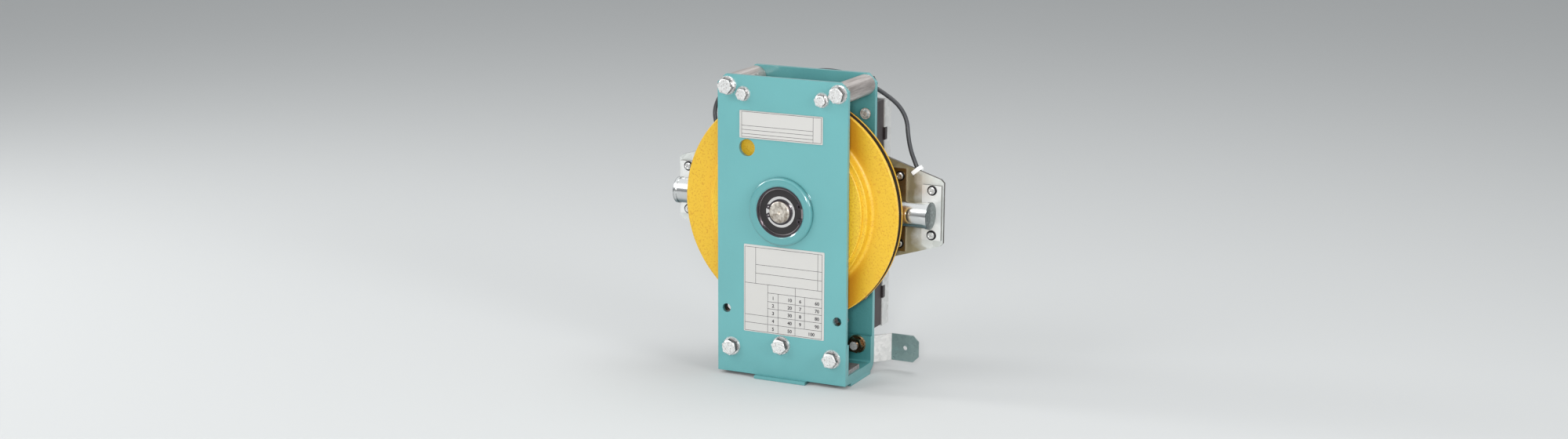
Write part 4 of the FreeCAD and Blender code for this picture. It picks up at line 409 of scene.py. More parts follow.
def finishMetal(tree, shader, effect, colour, look):
    link(tree, colour, shader.inputs["Base Color"])
    link(tree, effect.outputs["Roughness"], shader.inputs["Roughness"])
    shader.inputs["Metallic"].default_value = look.get("metal", 1.0)
    addBump(tree, shader, effect.outputs["Height"], look["bump"], look["depth"])


def sideMask(tree, low, high, at):
    # 1 on faces that look sideways, up or down, 0 on those that look to the front or back
    facing = addMath(tree, "ABSOLUTE", splitNormal(tree, at)[1], None, (at[0] + 150, at[1]))
    return remap(tree, facing, low, high, 1.0, 0.0, (at[0] + 300, at[1]))


boltLook = {
    "effect": {"Colour": (0.95, 0.95, 0.94, 1), "Patch_Scale": 420.0, "Contrast": 0.16, "Gloss": 0.26},
    "metal": 0.70, "side": (0.11, 0.10, 0.10), "sideShadeFrom": (0.20, 0.55), "speck": (0.34, 0.30, 0.29),
    "speckScale": 620.0, "speckFrom": (0.54, 0.66), "speckMost": 0.8, "bump": 0.05, "depth": 0.0002}


def makeZincBolt():
    made, tree, shader = startMaterial("zincBolt")
    effect = zincEffect(tree, boltLook)
    speck = addNoise(tree, objectCoords(tree, (-1100, -50)), boltLook["speckScale"], (-900, -50), detail=3.0)
    stain = remap(tree, speck, *boltLook["speckFrom"], 0.0, boltLook["speckMost"], (-700, -50))
    worn = mixColour(tree, stain, effect.outputs["Colour"], boltLook["speck"], (-450, 150))
    # painted shade: faces that look sideways, such as the hex flats and the flange rims, are darkened
    side = sideMask(tree, *boltLook["sideShadeFrom"], (-1000, -350))
    finishMetal(tree, shader, effect, mixColour(tree, side, worn, boltLook["side"], (-200, 200)), boltLook)
    return made


carrierLook = {
    "effect": {"Colour": (0.90, 0.93, 0.90, 1), "Patch_Scale": 130.0, "Contrast": 0.26, "Gloss": 0.38},
    "metal": 0.65, "tan": (0.34, 0.31, 0.20), "tanTo": (0.1065, 0.1165), "raggedScale": 60.0,
    "raggedFrom": (0.3, 0.7), "ragged": (-0.006, 0.006), "edge": (0.14, 0.13, 0.12), "edgeFrom": (0.25, 0.60),
    "bump": 0.06, "depth": 0.0003}


def makeCarrierZinc():
    # tan passivation that is gone from the wings' ends, with a ragged border
    made, tree, shader = startMaterial("carrierZinc")
    effect = zincEffect(tree, carrierLook)
    outward = addMath(tree, "ABSOLUTE", splitCoords(tree, (-1100, 50))[0], None, (-950, 50))
    coords = objectCoords(tree, (-1300, -200))
    cloud = addNoise(tree, coords, carrierLook["raggedScale"], (-1100, -200), detail=4.0)
    ragged = remap(tree, cloud, *carrierLook["raggedFrom"], *carrierLook["ragged"], (-900, -200))
    place = addMath(tree, "ADD", outward, ragged, (-750, 0))
    kept = remap(tree, place, *carrierLook["tanTo"], 1.0, 0.0, (-600, 0))
    tinted = mixColour(tree, kept, effect.outputs["Colour"], carrierLook["tan"], (-400, 200))
    # painted shade: faces that look sideways, up or down, such as the cut edges, are darkened
    side = sideMask(tree, *carrierLook["edgeFrom"], (-1000, -450))
    colour = mixColour(tree, side, tinted, carrierLook["edge"], (-200, 200))
    finishMetal(tree, shader, effect, colour, carrierLook)
    return made


solenoidLook = {
    "effect": {"Colour": (0.80, 0.81, 0.81, 1), "Patch_Scale": 60.0, "Contrast": 0.18, "Gloss": 0.15},
    "under": (0.09, 0.17, 0.19), "underFrom": (-0.80, -0.45), "end": (0.10, 0.12, 0.12), "endFrom": 0.1281,
    "endSpeck": (0.20, 0.235, 0.23), "speckScale": 420.0, "speckFrom": (0.45, 0.65), "bump": 0.03,
    "depth": 0.0002}


def makeSolenoidCase():
    # a bright case whose underside is darkened by a painted shade and reflection, and a rough dark end
    made, tree, shader = startMaterial("solenoidCase")
    effect = zincEffect(tree, solenoidLook)
    outward = addMath(tree, "ABSOLUTE", splitCoords(tree, (-1100, 50))[0], None, (-950, 50))
    isEnd = addMath(tree, "GREATER_THAN", outward, solenoidLook["endFrom"], (-800, 50))
    coords = objectCoords(tree, (-1300, -200))
    speck = addNoise(tree, coords, solenoidLook["speckScale"], (-1100, -200), detail=4.0)
    light = remap(tree, speck, *solenoidLook["speckFrom"], 0.0, 1.0, (-800, -200))
    rough = mixColour(tree, light, solenoidLook["end"], solenoidLook["endSpeck"], (-550, -100))
    upward = splitNormal(tree, (-1100, 400))[2]
    # painted shade and reflection: faces that look down are darkened toward a teal grey
    under = remap(tree, upward, *solenoidLook["underFrom"], 1.0, 0.0, (-800, 400))
    barrel = mixColour(tree, under, effect.outputs["Colour"], solenoidLook["under"], (-450, 350))
    finishMetal(tree, shader, effect, mixColour(tree, isEnd, barrel, rough, (-250, 200)), solenoidLook)
    return made


stripLook = {
    "effect": {"Colour": (0.93, 0.91, 0.89, 1), "Patch_Scale": 320.0, "Contrast": 0.30, "Gloss": 0.34},
    "metal": 0.65, "shadedEnd": (0.32, 0.45, 0.45), "shadedEndFrom": 0.0765, "bump": 0.06, "depth": 0.0003}


def makeStripZinc():
    # painted shade with a teal tint makes the strip's flat end darker than its slanted part
    made, tree, shader = startMaterial("stripZinc")
    effect = zincEffect(tree, stripLook)
    across = splitCoords(tree, (-1100, 50))[0]
    isEnd = addMath(tree, "GREATER_THAN", across, stripLook["shadedEndFrom"], (-800, 50))
    bright = effect.outputs["Colour"]
    # painted shade: the flat end's colour is multiplied toward a dark teal
    shadedEnd = mixColour(tree, 1.0, bright, stripLook["shadedEnd"], (-450, 100), "MULTIPLY")
    finishMetal(tree, shader, effect, mixColour(tree, isEnd, bright, shadedEnd, (-250, 200)), stripLook)
    return made


zincBolt = makeZincBolt()
carrierZinc = makeCarrierZinc()
solenoidCase = makeSolenoidCase()
stripZinc = makeStripZinc()

# the pads' dark edges are painted shade
padLook = {
    "effect": {"Colour": (0.93, 0.94, 0.92, 1), "Patch_Scale": 160.0, "Contrast": 0.14, "Gloss": 0.38},
    "metal": 0.6, "edge": (0.10, 0.09, 0.08), "edgeFrom": (0.25, 0.60), "bump": 0.05, "depth": 0.0002}
brownLook = {
    "effect": {"Colour": (0.38, 0.27, 0.12, 1), "Patch_Scale": 160.0, "Contrast": 0.45, "Gloss": 0.34},
    "edge": (0.62, 0.55, 0.50), "edgeFrom": (0.25, 0.60), "bump": 0.05, "depth": 0.0002}


def makeEdgedZinc(name, look):
    # plated sheet whose faces that look sideways, up or down get another tone: painted shade on the pads, a
    # lighter tone on the pawl plates
    made, tree, shader = startMaterial(name)
    effect = zincEffect(tree, look)
    side = sideMask(tree, *look["edgeFrom"], (-1000, -350))
    colour = mixColour(tree, side, effect.outputs["Colour"], look["edge"], (-200, 200))
    finishMetal(tree, shader, effect, colour, look)
    return made


screwLook = {
    "effect": {"Colour": (0.86, 0.86, 0.85, 1), "Patch_Scale": 420.0, "Contrast": 0.20, "Gloss": 0.28},
    "sunkShade": (0.045, 0.042, 0.045), "sunkShadeFrom": 0.0316, "bump": 0.05, "depth": 0.0002}


def makePadScrew():
    # bright on top of the head, with painted shade in its recess and round its foot
    made, tree, shader = startMaterial("padScrew")
    effect = zincEffect(tree, screwLook)
    depth = splitCoords(tree, (-1100, 50))[1]
    sunkShade = addMath(tree, "GREATER_THAN", depth, screwLook["sunkShadeFrom"], (-800, 50))
    colour = mixColour(tree, sunkShade, effect.outputs["Colour"], screwLook["sunkShade"], (-250, 200))
    finishMetal(tree, shader, effect, colour, screwLook)
    return made


padScrew = makePadScrew()
padZinc = makeEdgedZinc("padZinc", padLook)
brownZinc = makeEdgedZinc("brownZinc", brownLook)

# painted shade: the tray's side wall, which lies in shade, is given a near-black tone
shadedTrayLook = {
    "effect": {"Colour": (0.085, 0.068, 0.072, 1), "Stretch": (60.0, 60.0, 9.0), "Contrast": 0.6,
               "Gloss": 0.34},
    "bump": 0.08, "depth": 0.0002}
shadedTraySteel = groupFinish("shadedTraySteel", streakGroup, shadedTrayLook, metal=0.8)

lidLook = {
    "effect": {"Colour": (0.76, 0.76, 0.75, 1), "Patch_Scale": 210.0, "Contrast": 0.20, "Gloss": 0.36},
    "bump": 0.05, "depth": 0.0002}
lidZinc = groupFinish("lidZinc", zincGroup, lidLook, metal=0.5)


# the pulley: thick yellow paint over a cast face, and an oily dark rope groove
pulleyLook = {
    "yellow": (0.78, 0.515, 0.030), "mottleAndShadeYellow": (0.50, 0.190, 0.006), "groove": (0.035, 0.026, 0.018),
    "shade": 0.05, "grain": 420.0, "gloss": 0.42,
    "blotchScale": 26.0, "blotchFrom": (0.45, 0.75), "blotchMost": 0.45,
    "castScale": 620.0, "castFrom": (0.44, 0.66), "castMost": 0.60,
    "shadeReach": 0.040, "shadeFrom": (0.40, 0.88), "shadeMost": 0.95, "ringDepth": 0.20,
    "discFade": (0.074, 0.086), "grooveDepth": (-0.0021, 0.0052), "grooveRadius": (0.0935, 0.1066),
    "coat": 0.12, "coatGloss": 0.25, "bump": 0.35, "depth": 0.0006}


def makePulleyPaint():
    made, tree, shader = startMaterial("pulleyPaint")
    look = pulleyLook
    paint = placeGroup(tree, paintGroup, (-700, 300), Colour=(*look["yellow"], 1), Shade=look["shade"],
                       Grain_Scale=look["grain"], Gloss=look["gloss"])
    mottle = addNoise(tree, objectCoords(tree, (-1150, 100)), look["blotchScale"], (-950, 100), detail=5.0)
    blotch = remap(tree, mottle, *look["blotchFrom"], 0.0, look["blotchMost"], (-750, 50))
    cast = addNoise(tree, objectCoords(tree, (-1150, 500)), look["castScale"], (-950, 500), detail=4.0)
    pits = remap(tree, cast, *look["castFrom"], 0.0, look["castMost"], (-750, 500))
    uneven = addMath(tree, "MAXIMUM", blotch, pits, (-600, 400))
    # outside the disc the paint takes a deeper tone, and painted shade deepens it most where the plates shut
    # out the light
    about = placeGroup(tree, radiusGroup, (-950, -250), Centre=(0, 0, shaftHeight))
    ringOnly = remap(tree, about.outputs["Radius"], *look["discFade"], 0.0, 1.0, (-750, 900))
    lit = addShade(tree, look["shadeReach"], (-950, 750))
    shade = remap(tree, lit, *look["shadeFrom"], look["shadeMost"], 0.0, (-750, 750))
    shadeOrRing = addMath(tree, "MAXIMUM", shade, look["ringDepth"], (-600, 900))
    deep = addMath(tree, "MULTIPLY", shadeOrRing, ringOnly, (-600, 750))
    # the cast face's mottle and the painted shade both take the deeper yellow
    mottleOrShade = addMath(tree, "MAXIMUM", uneven, deep, (-520, 500))
    warm = mixColour(tree, mottleOrShade, paint.outputs["Colour"], look["mottleAndShadeYellow"], (-350, 200))
    front, back = look["grooveDepth"]
    inner, outer = look["grooveRadius"]
    behind = addMath(tree, "GREATER_THAN", about.outputs["Depth"], front, (-700, -200))
    before = addMath(tree, "LESS_THAN", about.outputs["Depth"], back, (-700, -350))
    inside = addMath(tree, "LESS_THAN", about.outputs["Radius"], outer, (-700, -500))
    outside = addMath(tree, "GREATER_THAN", about.outputs["Radius"], inner, (-700, -650))
    band = addMath(tree, "MULTIPLY", behind, before, (-500, -250))
    reach = addMath(tree, "MULTIPLY", inside, outside, (-500, -450))
    groove = addMath(tree, "MULTIPLY", band, reach, (-300, -350))
    link(tree, mixColour(tree, groove, warm, look["groove"], (-200, 200)), shader.inputs["Base Color"])
    link(tree, paint.outputs["Roughness"], shader.inputs["Roughness"])
    shader.inputs["Coat Weight"].default_value = look["coat"]
    shader.inputs["Coat Roughness"].default_value = look["coatGloss"]
    addBump(tree, shader, paint.outputs["Height"], look["bump"], look["depth"])
    return made


# the shaft's end is faced on a lathe, so its lines run round
shaftLook = {
    "light": (0.74, 0.69, 0.62), "dark": (0.34, 0.29, 0.24), "speckScale": 260.0, "speckFrom": (0.40, 0.62),
    "ripple": 9000.0, "metal": 0.85, "gloss": 0.38, "bump": 0.2, "depth": 0.0002}


def makeShaftSteel():
    made, tree, shader = startMaterial("shaftSteel")
    about = placeGroup(tree, radiusGroup, (-950, 0), Centre=(0, 0, shaftHeight))
    waves = addMath(tree, "MULTIPLY", about.outputs["Radius"], shaftLook["ripple"], (-700, 0))
    ripple = addMath(tree, "SINE", waves, None, (-520, 0))
    speck = addNoise(tree, objectCoords(tree, (-950, 250)), shaftLook["speckScale"], (-700, 250), detail=4.0)
    shade = remap(tree, speck, *shaftLook["speckFrom"], 0.0, 1.0, (-500, 250))
    colour = mixColour(tree, shade, shaftLook["light"], shaftLook["dark"], (-250, 250))
    link(tree, colour, shader.inputs["Base Color"])
    shader.inputs["Metallic"].default_value = shaftLook["metal"]
    shader.inputs["Roughness"].default_value = shaftLook["gloss"]
    addBump(tree, shader, ripple, shaftLook["bump"], shaftLook["depth"])
    return made


pulleyPaint = makePulleyPaint()
shaftSteel = makeShaftSteel()

finishOfNode = {
    tealPaint: ["front_plate", "foot_plate"],
    innerShadedPaint: ["back_plate", "base_bracket"],
    bossPaint: ["front_bearing_housing"],
    pulleyPaint: ["pulley"],
    drawnSteel: ["top_spacers"],
    rolledBar: ["clamp_bars"],
    zincBolt: ["front_bolts", "front_nuts", "rear_bolts", "rope_guard_pins", "carrier_screws", "box_screws",
               "box_nuts", "wheel_screws"],
    padScrew: ["pad_screws"],
    goldZinc: ["rear_nuts"],
    galvanisedSheet: ["trip_lever", "weight_link_right", "weight_link_left"],
    carrierZinc: ["solenoid_carrier"],
    padZinc: ["solenoid_pads"],
    brownZinc: ["pawl_plates"],
    shadedTraySteel: ["box_tray"],
    lidZinc: ["box_lid"],
    stripZinc: ["side_bracket"],
    solenoidCase: ["solenoid_right", "solenoid_left"],
    groundSteel: ["shaft_key", "shaft_sleeve", "locking_wheel", "weight_pins", "pivot_pins", "pawl_right",
                  "pawl_left", "plunger_right", "plunger_left", "trip_roller", "rear_bearing_housing"],
    shaftSteel: ["main_shaft"],
    polishedRing: ["bearing_inner_rings"],
    outerRingSteel: ["bearing_outer_rings"],
    springSteel: ["bearing_circlip", "shaft_circlips", "weight_clips", "pivot_clips", "weight_springs",
                  "pawl_springs"],
    castIron: ["flyweight_a", "flyweight_b"],
    sealRubber: ["bearing_seals"],
    cableJacket: ["solenoid_lead"],
    tieNylon: ["cable_ties"],
    blackPlastic: ["safety_switch", "encoder_disc", "encoder_sensor", "lead_connectors"],
    greyPlastic: ["terminal_block"],
    redPlastic: ["switch_button"],
}
for finish, names in finishOfNode.items():
    for name in names:
        nodes[name].data.materials.clear()
        nodes[name].data.materials.append(finish)
print("nodes dressed:", sum(len(names) for names in finishOfNode.values()))


# modelling tools

def deselectAll():
    if bpy.context.object and bpy.context.object.mode != "OBJECT":
        bpy.ops.object.mode_set(mode="OBJECT")
    bpy.ops.object.select_all(action="DESELECT")


def newCube(name, low, high):
    # a box between two corners, its object left at the origin
    deselectAll()
    low, high = Vector(low), Vector(high)
    bpy.ops.mesh.primitive_cube_add(size=1, location=(low + high) / 2, scale=high - low)
    made = bpy.context.object
    bpy.ops.object.transform_apply(location=True, rotation=True, scale=True)
    made.name = name
    return made


def clearPicks():
    # leaves no vertex, edge or face of the active piece selected
    bpy.ops.object.mode_set(mode="EDIT")
    bpy.ops.mesh.select_all(action="DESELECT")
    bpy.ops.object.mode_set(mode="OBJECT")


def joinPieces(pieces):
    # makes them one piece, which keeps the first one's name
    deselectAll()
    for piece in pieces:
        piece.select_set(True)
    bpy.context.view_layer.objects.active = pieces[0]
    bpy.ops.object.join()
    return pieces[0]


def bevelEdges(piece, width, segments, test):
    # bevels the edges whose two ends pass the test
    clearPicks()
    mesh = piece.data
    for edge in mesh.edges:
        ends = [mesh.vertices[index].co for index in edge.vertices]
        edge.select = test(*ends)
    bpy.ops.object.mode_set(mode="EDIT")
    bpy.ops.mesh.select_mode(type="EDGE")
    bpy.ops.mesh.bevel(offset=width, segments=segments)
    bpy.ops.object.mode_set(mode="OBJECT")


# two label plates with ruled lines
labelLook = {
    "thickness": 0.0003, "gap": 0.00005, "corner": 0.0008, "cornerSteps": 3, "white": (0.52, 0.51, 0.49),
    "ink": (0.05, 0.045, 0.05), "lineWidth": 0.0004, "gloss": 0.42, "coat": 0.15}
# lines run along x at a height below the label's top, or up and down at a place across its width;
# each has the stretch that it covers
upperLabel = {
    "left": -0.0425, "right": 0.0406, "bottom": 0.0650, "top": 0.0905,
    "across": [(0.0140, 0.002, 0.0735), (0.0178, 0.002, 0.0735), (0.0215, 0.002, 0.0735),
               (0.0012, 0.002, 0.0815), (0.0243, 0.002, 0.0815)],
    "upright": [(0.0020, 0.0012, 0.0243), (0.0735, 0.0012, 0.0243), (0.0815, 0.0012, 0.0243)]}
lowerLabel = {
    "left": -0.0381, "right": 0.0432, "bottom": -0.1166, "top": -0.0340,
    "across": [(0.0022, 0.001, 0.0790), (0.0184, 0.012, 0.0790), (0.0266, 0.012, 0.0790),
               (0.0363, 0.001, 0.0790), (0.0440, 0.0244, 0.0790), (0.0522, 0.0244, 0.0790),
               (0.0589, 0.0244, 0.0790), (0.0664, 0.001, 0.0790), (0.0740, 0.001, 0.0790),
               (0.0816, 0.001, 0.0790)],
    "upright": [(0.0010, 0.0022, 0.0816), (0.0120, 0.0022, 0.0363), (0.0244, 0.0363, 0.0816),
                (0.0350, 0.0440, 0.0816), (0.0523, 0.0363, 0.0816), (0.0618, 0.0440, 0.0740),
                (0.0748, 0.0022, 0.0363), (0.0790, 0.0022, 0.0816)]}


def makeRuleGroup():
    # a ruled line of a given place and reach
    tree, given, out = startGroup("ruledLine", [
        ("Off", "NodeSocketFloat", 0.0), ("Along", "NodeSocketFloat", 0.0), ("Place", "NodeSocketFloat", 0.0),
        ("Middle", "NodeSocketFloat", 0.0), ("Half", "NodeSocketFloat", 0.0)], [("Mask", "NodeSocketFloat")])
    near = addNode(tree, "ShaderNodeMath", (-200, 100), operation="COMPARE")
    link(tree, given["Off"], near.inputs[0])
    link(tree, given["Place"], near.inputs[1])
    near.inputs[2].default_value = labelLook["lineWidth"] / 2
    within = addNode(tree, "ShaderNodeMath", (-200, -100), operation="COMPARE")
    link(tree, given["Along"], within.inputs[0])
    link(tree, given["Middle"], within.inputs[1])
    link(tree, given["Half"], within.inputs[2])
    link(tree, addMath(tree, "MULTIPLY", near.outputs[0], within.outputs[0], (100, 0)), out["Mask"])
    return tree


ruleGroup = makeRuleGroup()


def makeLabelInk(name, label):
    made, tree, shader = startMaterial(name)
    parts = splitCoords(tree, (-1500, 0))
    across = addMath(tree, "SUBTRACT", parts[0], label["left"], (-1300, 100))
    down = addMath(tree, "SUBTRACT", shaftHeight + label["top"], parts[2], (-1300, -100))
    lines = [(down, across, *line) for line in label["across"]]
    lines += [(across, down, *line) for line in label["upright"]]
    total = 0.0
    for index, (off, along, place, start, end) in enumerate(lines):
        rule = placeGroup(tree, ruleGroup, (-1000 + 40 * index, -170 * index), Place=place,
                          Middle=(start + end) / 2, Half=(end - start) / 2)
        link(tree, off, rule.inputs["Off"])
        link(tree, along, rule.inputs["Along"])
        total = addMath(tree, "MAXIMUM", rule.outputs[0], total, (-750 + 40 * index, -170 * index))
    colour = mixColour(tree, total, labelLook["white"], labelLook["ink"], (-200, 200))
    link(tree, colour, shader.inputs["Base Color"])
    shader.inputs["Roughness"].default_value = labelLook["gloss"]
    shader.inputs["Coat Weight"].default_value = labelLook["coat"]
    return made


def makeLabel(name, label):
    back = frontFace - labelLook["gap"]
    plate = newCube(name, (label["left"], back - labelLook["thickness"], shaftHeight + label["bottom"]),
                    (label["right"], back, shaftHeight + label["top"]))

    def isCorner(first, second):
        return abs(first.y - second.y) > labelLook["thickness"] / 2

    bevelEdges(plate, labelLook["corner"], labelLook["cornerSteps"], isCorner)
    plate.data.materials.append(makeLabelInk(f"{name}Ink", label))
    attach(plate, "frame_body")
    return plate


makeLabel("upperLabel", upperLabel)
makeLabel("lowerLabel", lowerLabel)

# plain numbers in the lower label's table: each with the place across the label where it ends, and how far
# below the label's top it stands
tableNumbers = [
    ("1", 0.0310, 0.0500), ("2", 0.0310, 0.0572), ("3", 0.0310, 0.0644), ("4", 0.0310, 0.0718),
    ("5", 0.0310, 0.0794), ("10", 0.0490, 0.0500), ("20", 0.0490, 0.0572), ("30", 0.0490, 0.0644),
    ("40", 0.0490, 0.0718), ("50", 0.0490, 0.0794), ("6", 0.0585, 0.0500), ("7", 0.0585, 0.0572),
    ("8", 0.0585, 0.0644), ("9", 0.0585, 0.0718), ("60", 0.0765, 0.0500), ("70", 0.0765, 0.0572),
    ("80", 0.0765, 0.0644), ("90", 0.0765, 0.0718), ("100", 0.0720, 0.0796)]
numberLook = {
    "size": 0.0044, "bolder": 0.00012, "raised": 0.00003, "lift": 0.00004, "curveSteps": 3, "gloss": 0.5}


def makeNumbers():
    made, tree, shader = startMaterial("numberInk")
    shader.inputs["Base Color"].default_value = (*labelLook["ink"], 1)
    shader.inputs["Roughness"].default_value = numberLook["gloss"]
    pieces = []
    front = frontFace - labelLook["gap"] - labelLook["thickness"] - numberLook["lift"]
    for words, across, down in tableNumbers:
        deselectAll()
        place = (lowerLabel["left"] + across, front, shaftHeight + lowerLabel["top"] - down)
        bpy.ops.object.text_add(location=place, rotation=(math.pi / 2, 0, 0))
        number = bpy.context.object
        number.data.body = words
        number.data.size = numberLook["size"]
        number.data.offset = numberLook["bolder"]
        number.data.extrude = numberLook["raised"]
        number.data.resolution_u = numberLook["curveSteps"]
        number.data.align_x = "RIGHT"
        bpy.ops.object.convert(target="MESH")
        bpy.ops.object.transform_apply(location=True, rotation=True, scale=True)
        pieces.append(bpy.context.object)
    numbers = joinPieces(pieces)
    numbers.name = "tableNumbers"
    bpy.context.scene.cursor.location = (0, 0, 0)
    bpy.ops.object.origin_set(type="ORIGIN_CURSOR")
    numbers.data.materials.clear()
    numbers.data.materials.append(made)
    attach(numbers, "frame_body")


makeNumbers()
print("labels made")


# nylon ties that hold the lead to the wings, each a band with its lock at the back
tieShape = {
    "x": 0.1085, "z": 0.19847, "lean": math.radians(50), "low": -0.0064, "high": 0.0029, "front": 0.0345,
    "back": 0.0446, "width": 0.0037, "band": 0.0009, "corner": 0.0012, "cornerSteps": 3, "lockHalf": 0.0024,
    "lockDepth": 0.0026, "lockSink": 0.0003, "lockCorner": 0.0005, "lockSteps": 2,
    "smoothBelow": math.radians(40)}


def makeTie(side):
    # built upright at the origin, leant over with the wing's edge and moved to its place
    half = tieShape["width"] / 2
    band = newCube(f"cableTie{side}", (-half, tieShape["front"], tieShape["low"]),
                   (half, tieShape["back"], tieShape["high"]))

    def runsAcross(first, second):
        return abs(first.x - second.x) > half

    bevelEdges(band, tieShape["corner"], tieShape["cornerSteps"], runsAcross)
    # the two side faces go, which leaves a loop
    clearPicks()
    for face in band.data.polygons:
        face.select = abs(face.normal.x) > 0.9
    bpy.ops.object.mode_set(mode="EDIT")
    bpy.ops.mesh.select_mode(type="FACE")
    bpy.ops.mesh.delete(type="FACE")
    bpy.ops.object.mode_set(mode="OBJECT")
    wall = band.modifiers.new("wall", "SOLIDIFY")
    wall.thickness = tieShape["band"]
    wall.offset = -1
    bpy.ops.object.modifier_apply(modifier="wall")
    wide = tieShape["lockHalf"]
    middle = (tieShape["low"] + tieShape["high"]) / 2
    lock = newCube("tieLock", (-wide, tieShape["back"] - tieShape["lockSink"], middle - wide),
                   (wide, tieShape["back"] + tieShape["lockDepth"], middle + wide))

    def anyEdge(first, second):
        return True

    bevelEdges(lock, tieShape["lockCorner"], tieShape["lockSteps"], anyEdge)
    joinPieces([band, lock])
    band.rotation_euler = (0, side * tieShape["lean"], 0)
    band.location = (side * tieShape["x"], 0, tieShape["z"])
    bpy.ops.object.transform_apply(location=True, rotation=True, scale=True)
    return band


def makeTies():
    ties = joinPieces([makeTie(1), makeTie(-1)])
    ties.name = "cableTies"
    bpy.ops.object.shade_smooth_by_angle(angle=tieShape["smoothBelow"])
    ties.data.materials.append(tieNylon)
    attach(ties, "frame_body")
    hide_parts("cable_ties")


makeTies()
print("ties made")


# the black lead from plug to plug, over the box
leadRoute = [
    (0.1170, 0.0412, 0.1745), (0.1070, 0.0412, 0.1975), (0.0955, 0.0465, 0.2180), (0.0896, 0.0540, 0.2485),
    (0.0595, 0.0545, 0.2680), (0.0220, 0.0520, 0.2825), (-0.0200, 0.0520, 0.2765),
    (-0.0570, 0.0545, 0.2700), (-0.0870, 0.0532, 0.2640), (-0.1075, 0.0510, 0.2390),
    (-0.0995, 0.0455, 0.2140), (-0.1070, 0.0412, 0.1965), (-0.1170, 0.0412, 0.1745)]
leadLook = {"radius": 0.0020, "length": 0.363, "roundSteps": 5, "alongSteps": 16, "order": 3}


def makeLead():
    curve = bpy.data.curves.new("solenoidLead", "CURVE")
    curve.dimensions = "3D"
    curve.bevel_depth = leadLook["radius"]
    curve.bevel_resolution = leadLook["roundSteps"]
    curve.resolution_u = leadLook["alongSteps"]
    spline = curve.splines.new("NURBS")
    spline.points.add(len(leadRoute) - 1)
    for point, place in zip(spline.points, leadRoute):
        point.co = (*place, 1)
    spline.order_u = leadLook["order"]
    spline.use_endpoint_u = True
    lead = bpy.data.objects.new("solenoidLead", curve)
    bpy.context.scene.collection.objects.link(lead)
    curve.materials.append(cableJacket)
    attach(lead, "frame_body")
    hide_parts("solenoid_lead")


makeLead()
print("lead made")


# stage, light and camera
floorLook = {"size": 30, "place": (0, 4, -0.0002), "colour": (0.57, 0.58, 0.58), "gloss": 0.9}


def makeFloor():
    deselectAll()
    bpy.ops.mesh.primitive_plane_add(size=floorLook["size"], location=floorLook["place"])
    floor = bpy.context.object
    floor.name = "floor"
    made, tree, shader = startMaterial("floorPaint")
    shader.inputs["Base Color"].default_value = (*floorLook["colour"], 1)
    shader.inputs["Roughness"].default_value = floorLook["gloss"]
    floor.data.materials.append(made)


# the room is a dim wall that rises to a bright ceiling, as the camera and polished metal see it
roomLook = {
    "colour": (0.90, 0.92, 0.93), "rise": (0.05, 0.75), "strength": (0.26, 1.15),
    "lightColour": (0.95, 0.98, 1.0), "light": 0.50}


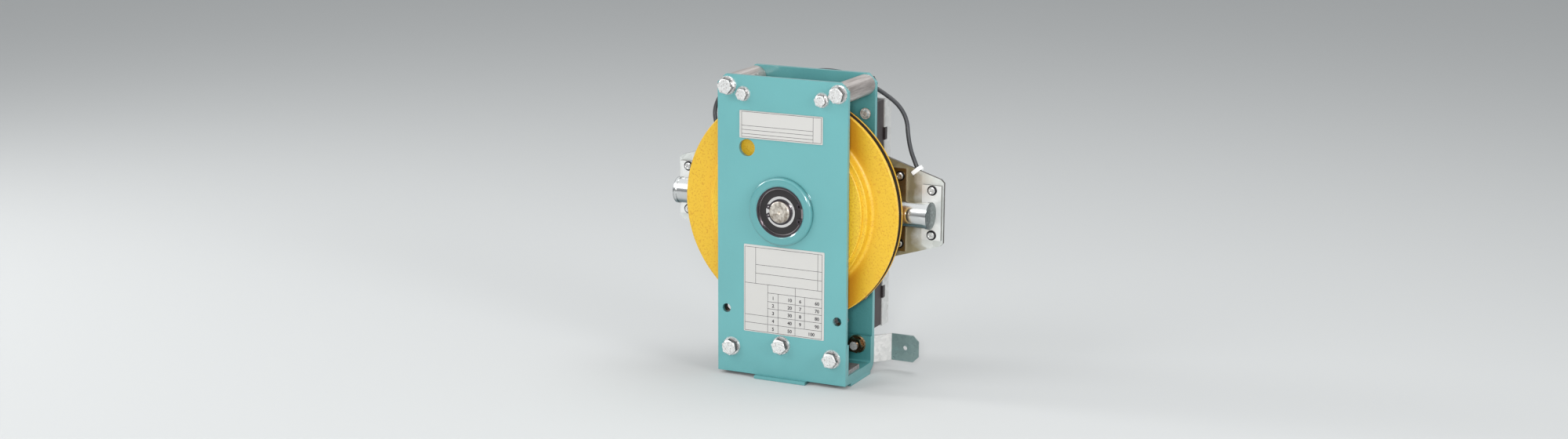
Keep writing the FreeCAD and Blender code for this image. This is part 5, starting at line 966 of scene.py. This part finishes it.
def makeWorld():
    world = bpy.data.worlds.new("paleRoom")
    bpy.context.scene.world = world
    world.use_nodes = True
    tree = world.node_tree
    tree.nodes.clear()
    rise = addNode(tree, "ShaderNodeSeparateXYZ", (-500, -300))
    link(tree, addNode(tree, "ShaderNodeTexCoord", (-700, -300)).outputs["Generated"], rise.inputs[0])
    seen = addNode(tree, "ShaderNodeBackground", (0, 150))
    seen.inputs["Color"].default_value = (*roomLook["colour"], 1)
    wall = remap(tree, rise.outputs[2], *roomLook["rise"], *roomLook["strength"], (-300, -300))
    link(tree, wall, seen.inputs["Strength"])
    light = addNode(tree, "ShaderNodeBackground", (0, -50))
    light.inputs["Color"].default_value = (*roomLook["lightColour"], 1)
    light.inputs["Strength"].default_value = roomLook["light"]
    path = addNode(tree, "ShaderNodeLightPath", (-500, 300))
    camera, through, glossy = (path.outputs[f"Is {ray} Ray"] for ray in ("Camera", "Transmission", "Glossy"))
    either = addMath(tree, "MAXIMUM", camera, through, (-300, 300))
    either = addMath(tree, "MAXIMUM", either, glossy, (-150, 300))
    mix = addNode(tree, "ShaderNodeMixShader", (250, 100))
    link(tree, either, mix.inputs[0])
    link(tree, light.outputs[0], mix.inputs[1])
    link(tree, seen.outputs[0], mix.inputs[2])
    out = addNode(tree, "ShaderNodeOutputWorld", (450, 100))
    link(tree, mix.outputs[0], out.inputs["Surface"])


lamps = {
    "keyLamp": {"place": (-1.3, -1.5, 1.7), "size": 1.4, "power": 15.0},
    "sideLamp": {"place": (1.9, -0.7, 0.8), "size": 0.7, "power": 13.0},
    "topLamp": {"place": (0.3, 0.5, 1.9), "size": 1.2, "power": 12.0},
    "frontLamp": {"place": (0.80, -1.9, 0.70), "size": 0.3, "power": 25.0},
    "glintLamp": {"place": (-1.6, -0.30, 0.95), "size": 0.4, "power": 9.0}}


def makeLamps():
    for name, lamp in lamps.items():
        data = bpy.data.lights.new(name, "AREA")
        data.shape = "DISK"
        data.size = lamp["size"]
        data.energy = lamp["power"]
        made = bpy.data.objects.new(name, data)
        bpy.context.scene.collection.objects.link(made)
        made.location = lamp["place"]
        aim = Vector((0, 0, shaftHeight)) - Vector(lamp["place"])
        made.rotation_euler = aim.to_track_quat("-Z", "Y").to_euler()


cameraLook = {
    "place": (0.8865, -1.8781, 0.6230), "azimuth": 25.47, "elevation": 12.87, "roll": 0.25, "lens": 53.26,
    "sensor": 36.0}


def makeCamera():
    turn, rise, roll = (math.radians(cameraLook[name]) for name in ("azimuth", "elevation", "roll"))
    ahead = Vector((-math.sin(turn) * math.cos(rise), math.cos(turn) * math.cos(rise), -math.sin(rise)))
    right = Vector((math.cos(turn), math.sin(turn), 0))
    up = right.cross(ahead)
    side = right * math.cos(roll) + up * math.sin(roll)
    top = up * math.cos(roll) - right * math.sin(roll)
    data = bpy.data.cameras.new("camera")
    data.lens = cameraLook["lens"]
    data.sensor_width = cameraLook["sensor"]
    made = bpy.data.objects.new("camera", data)
    bpy.context.scene.collection.objects.link(made)
    axes = Matrix((side, top, -ahead)).transposed()
    made.matrix_world = Matrix.Translation(cameraLook["place"]) @ axes.to_4x4()
    bpy.context.scene.camera = made


makeFloor()
makeWorld()
makeLamps()
makeCamera()
bpy.context.scene.view_settings.view_transform = "Standard"
print("stage, light and camera made")
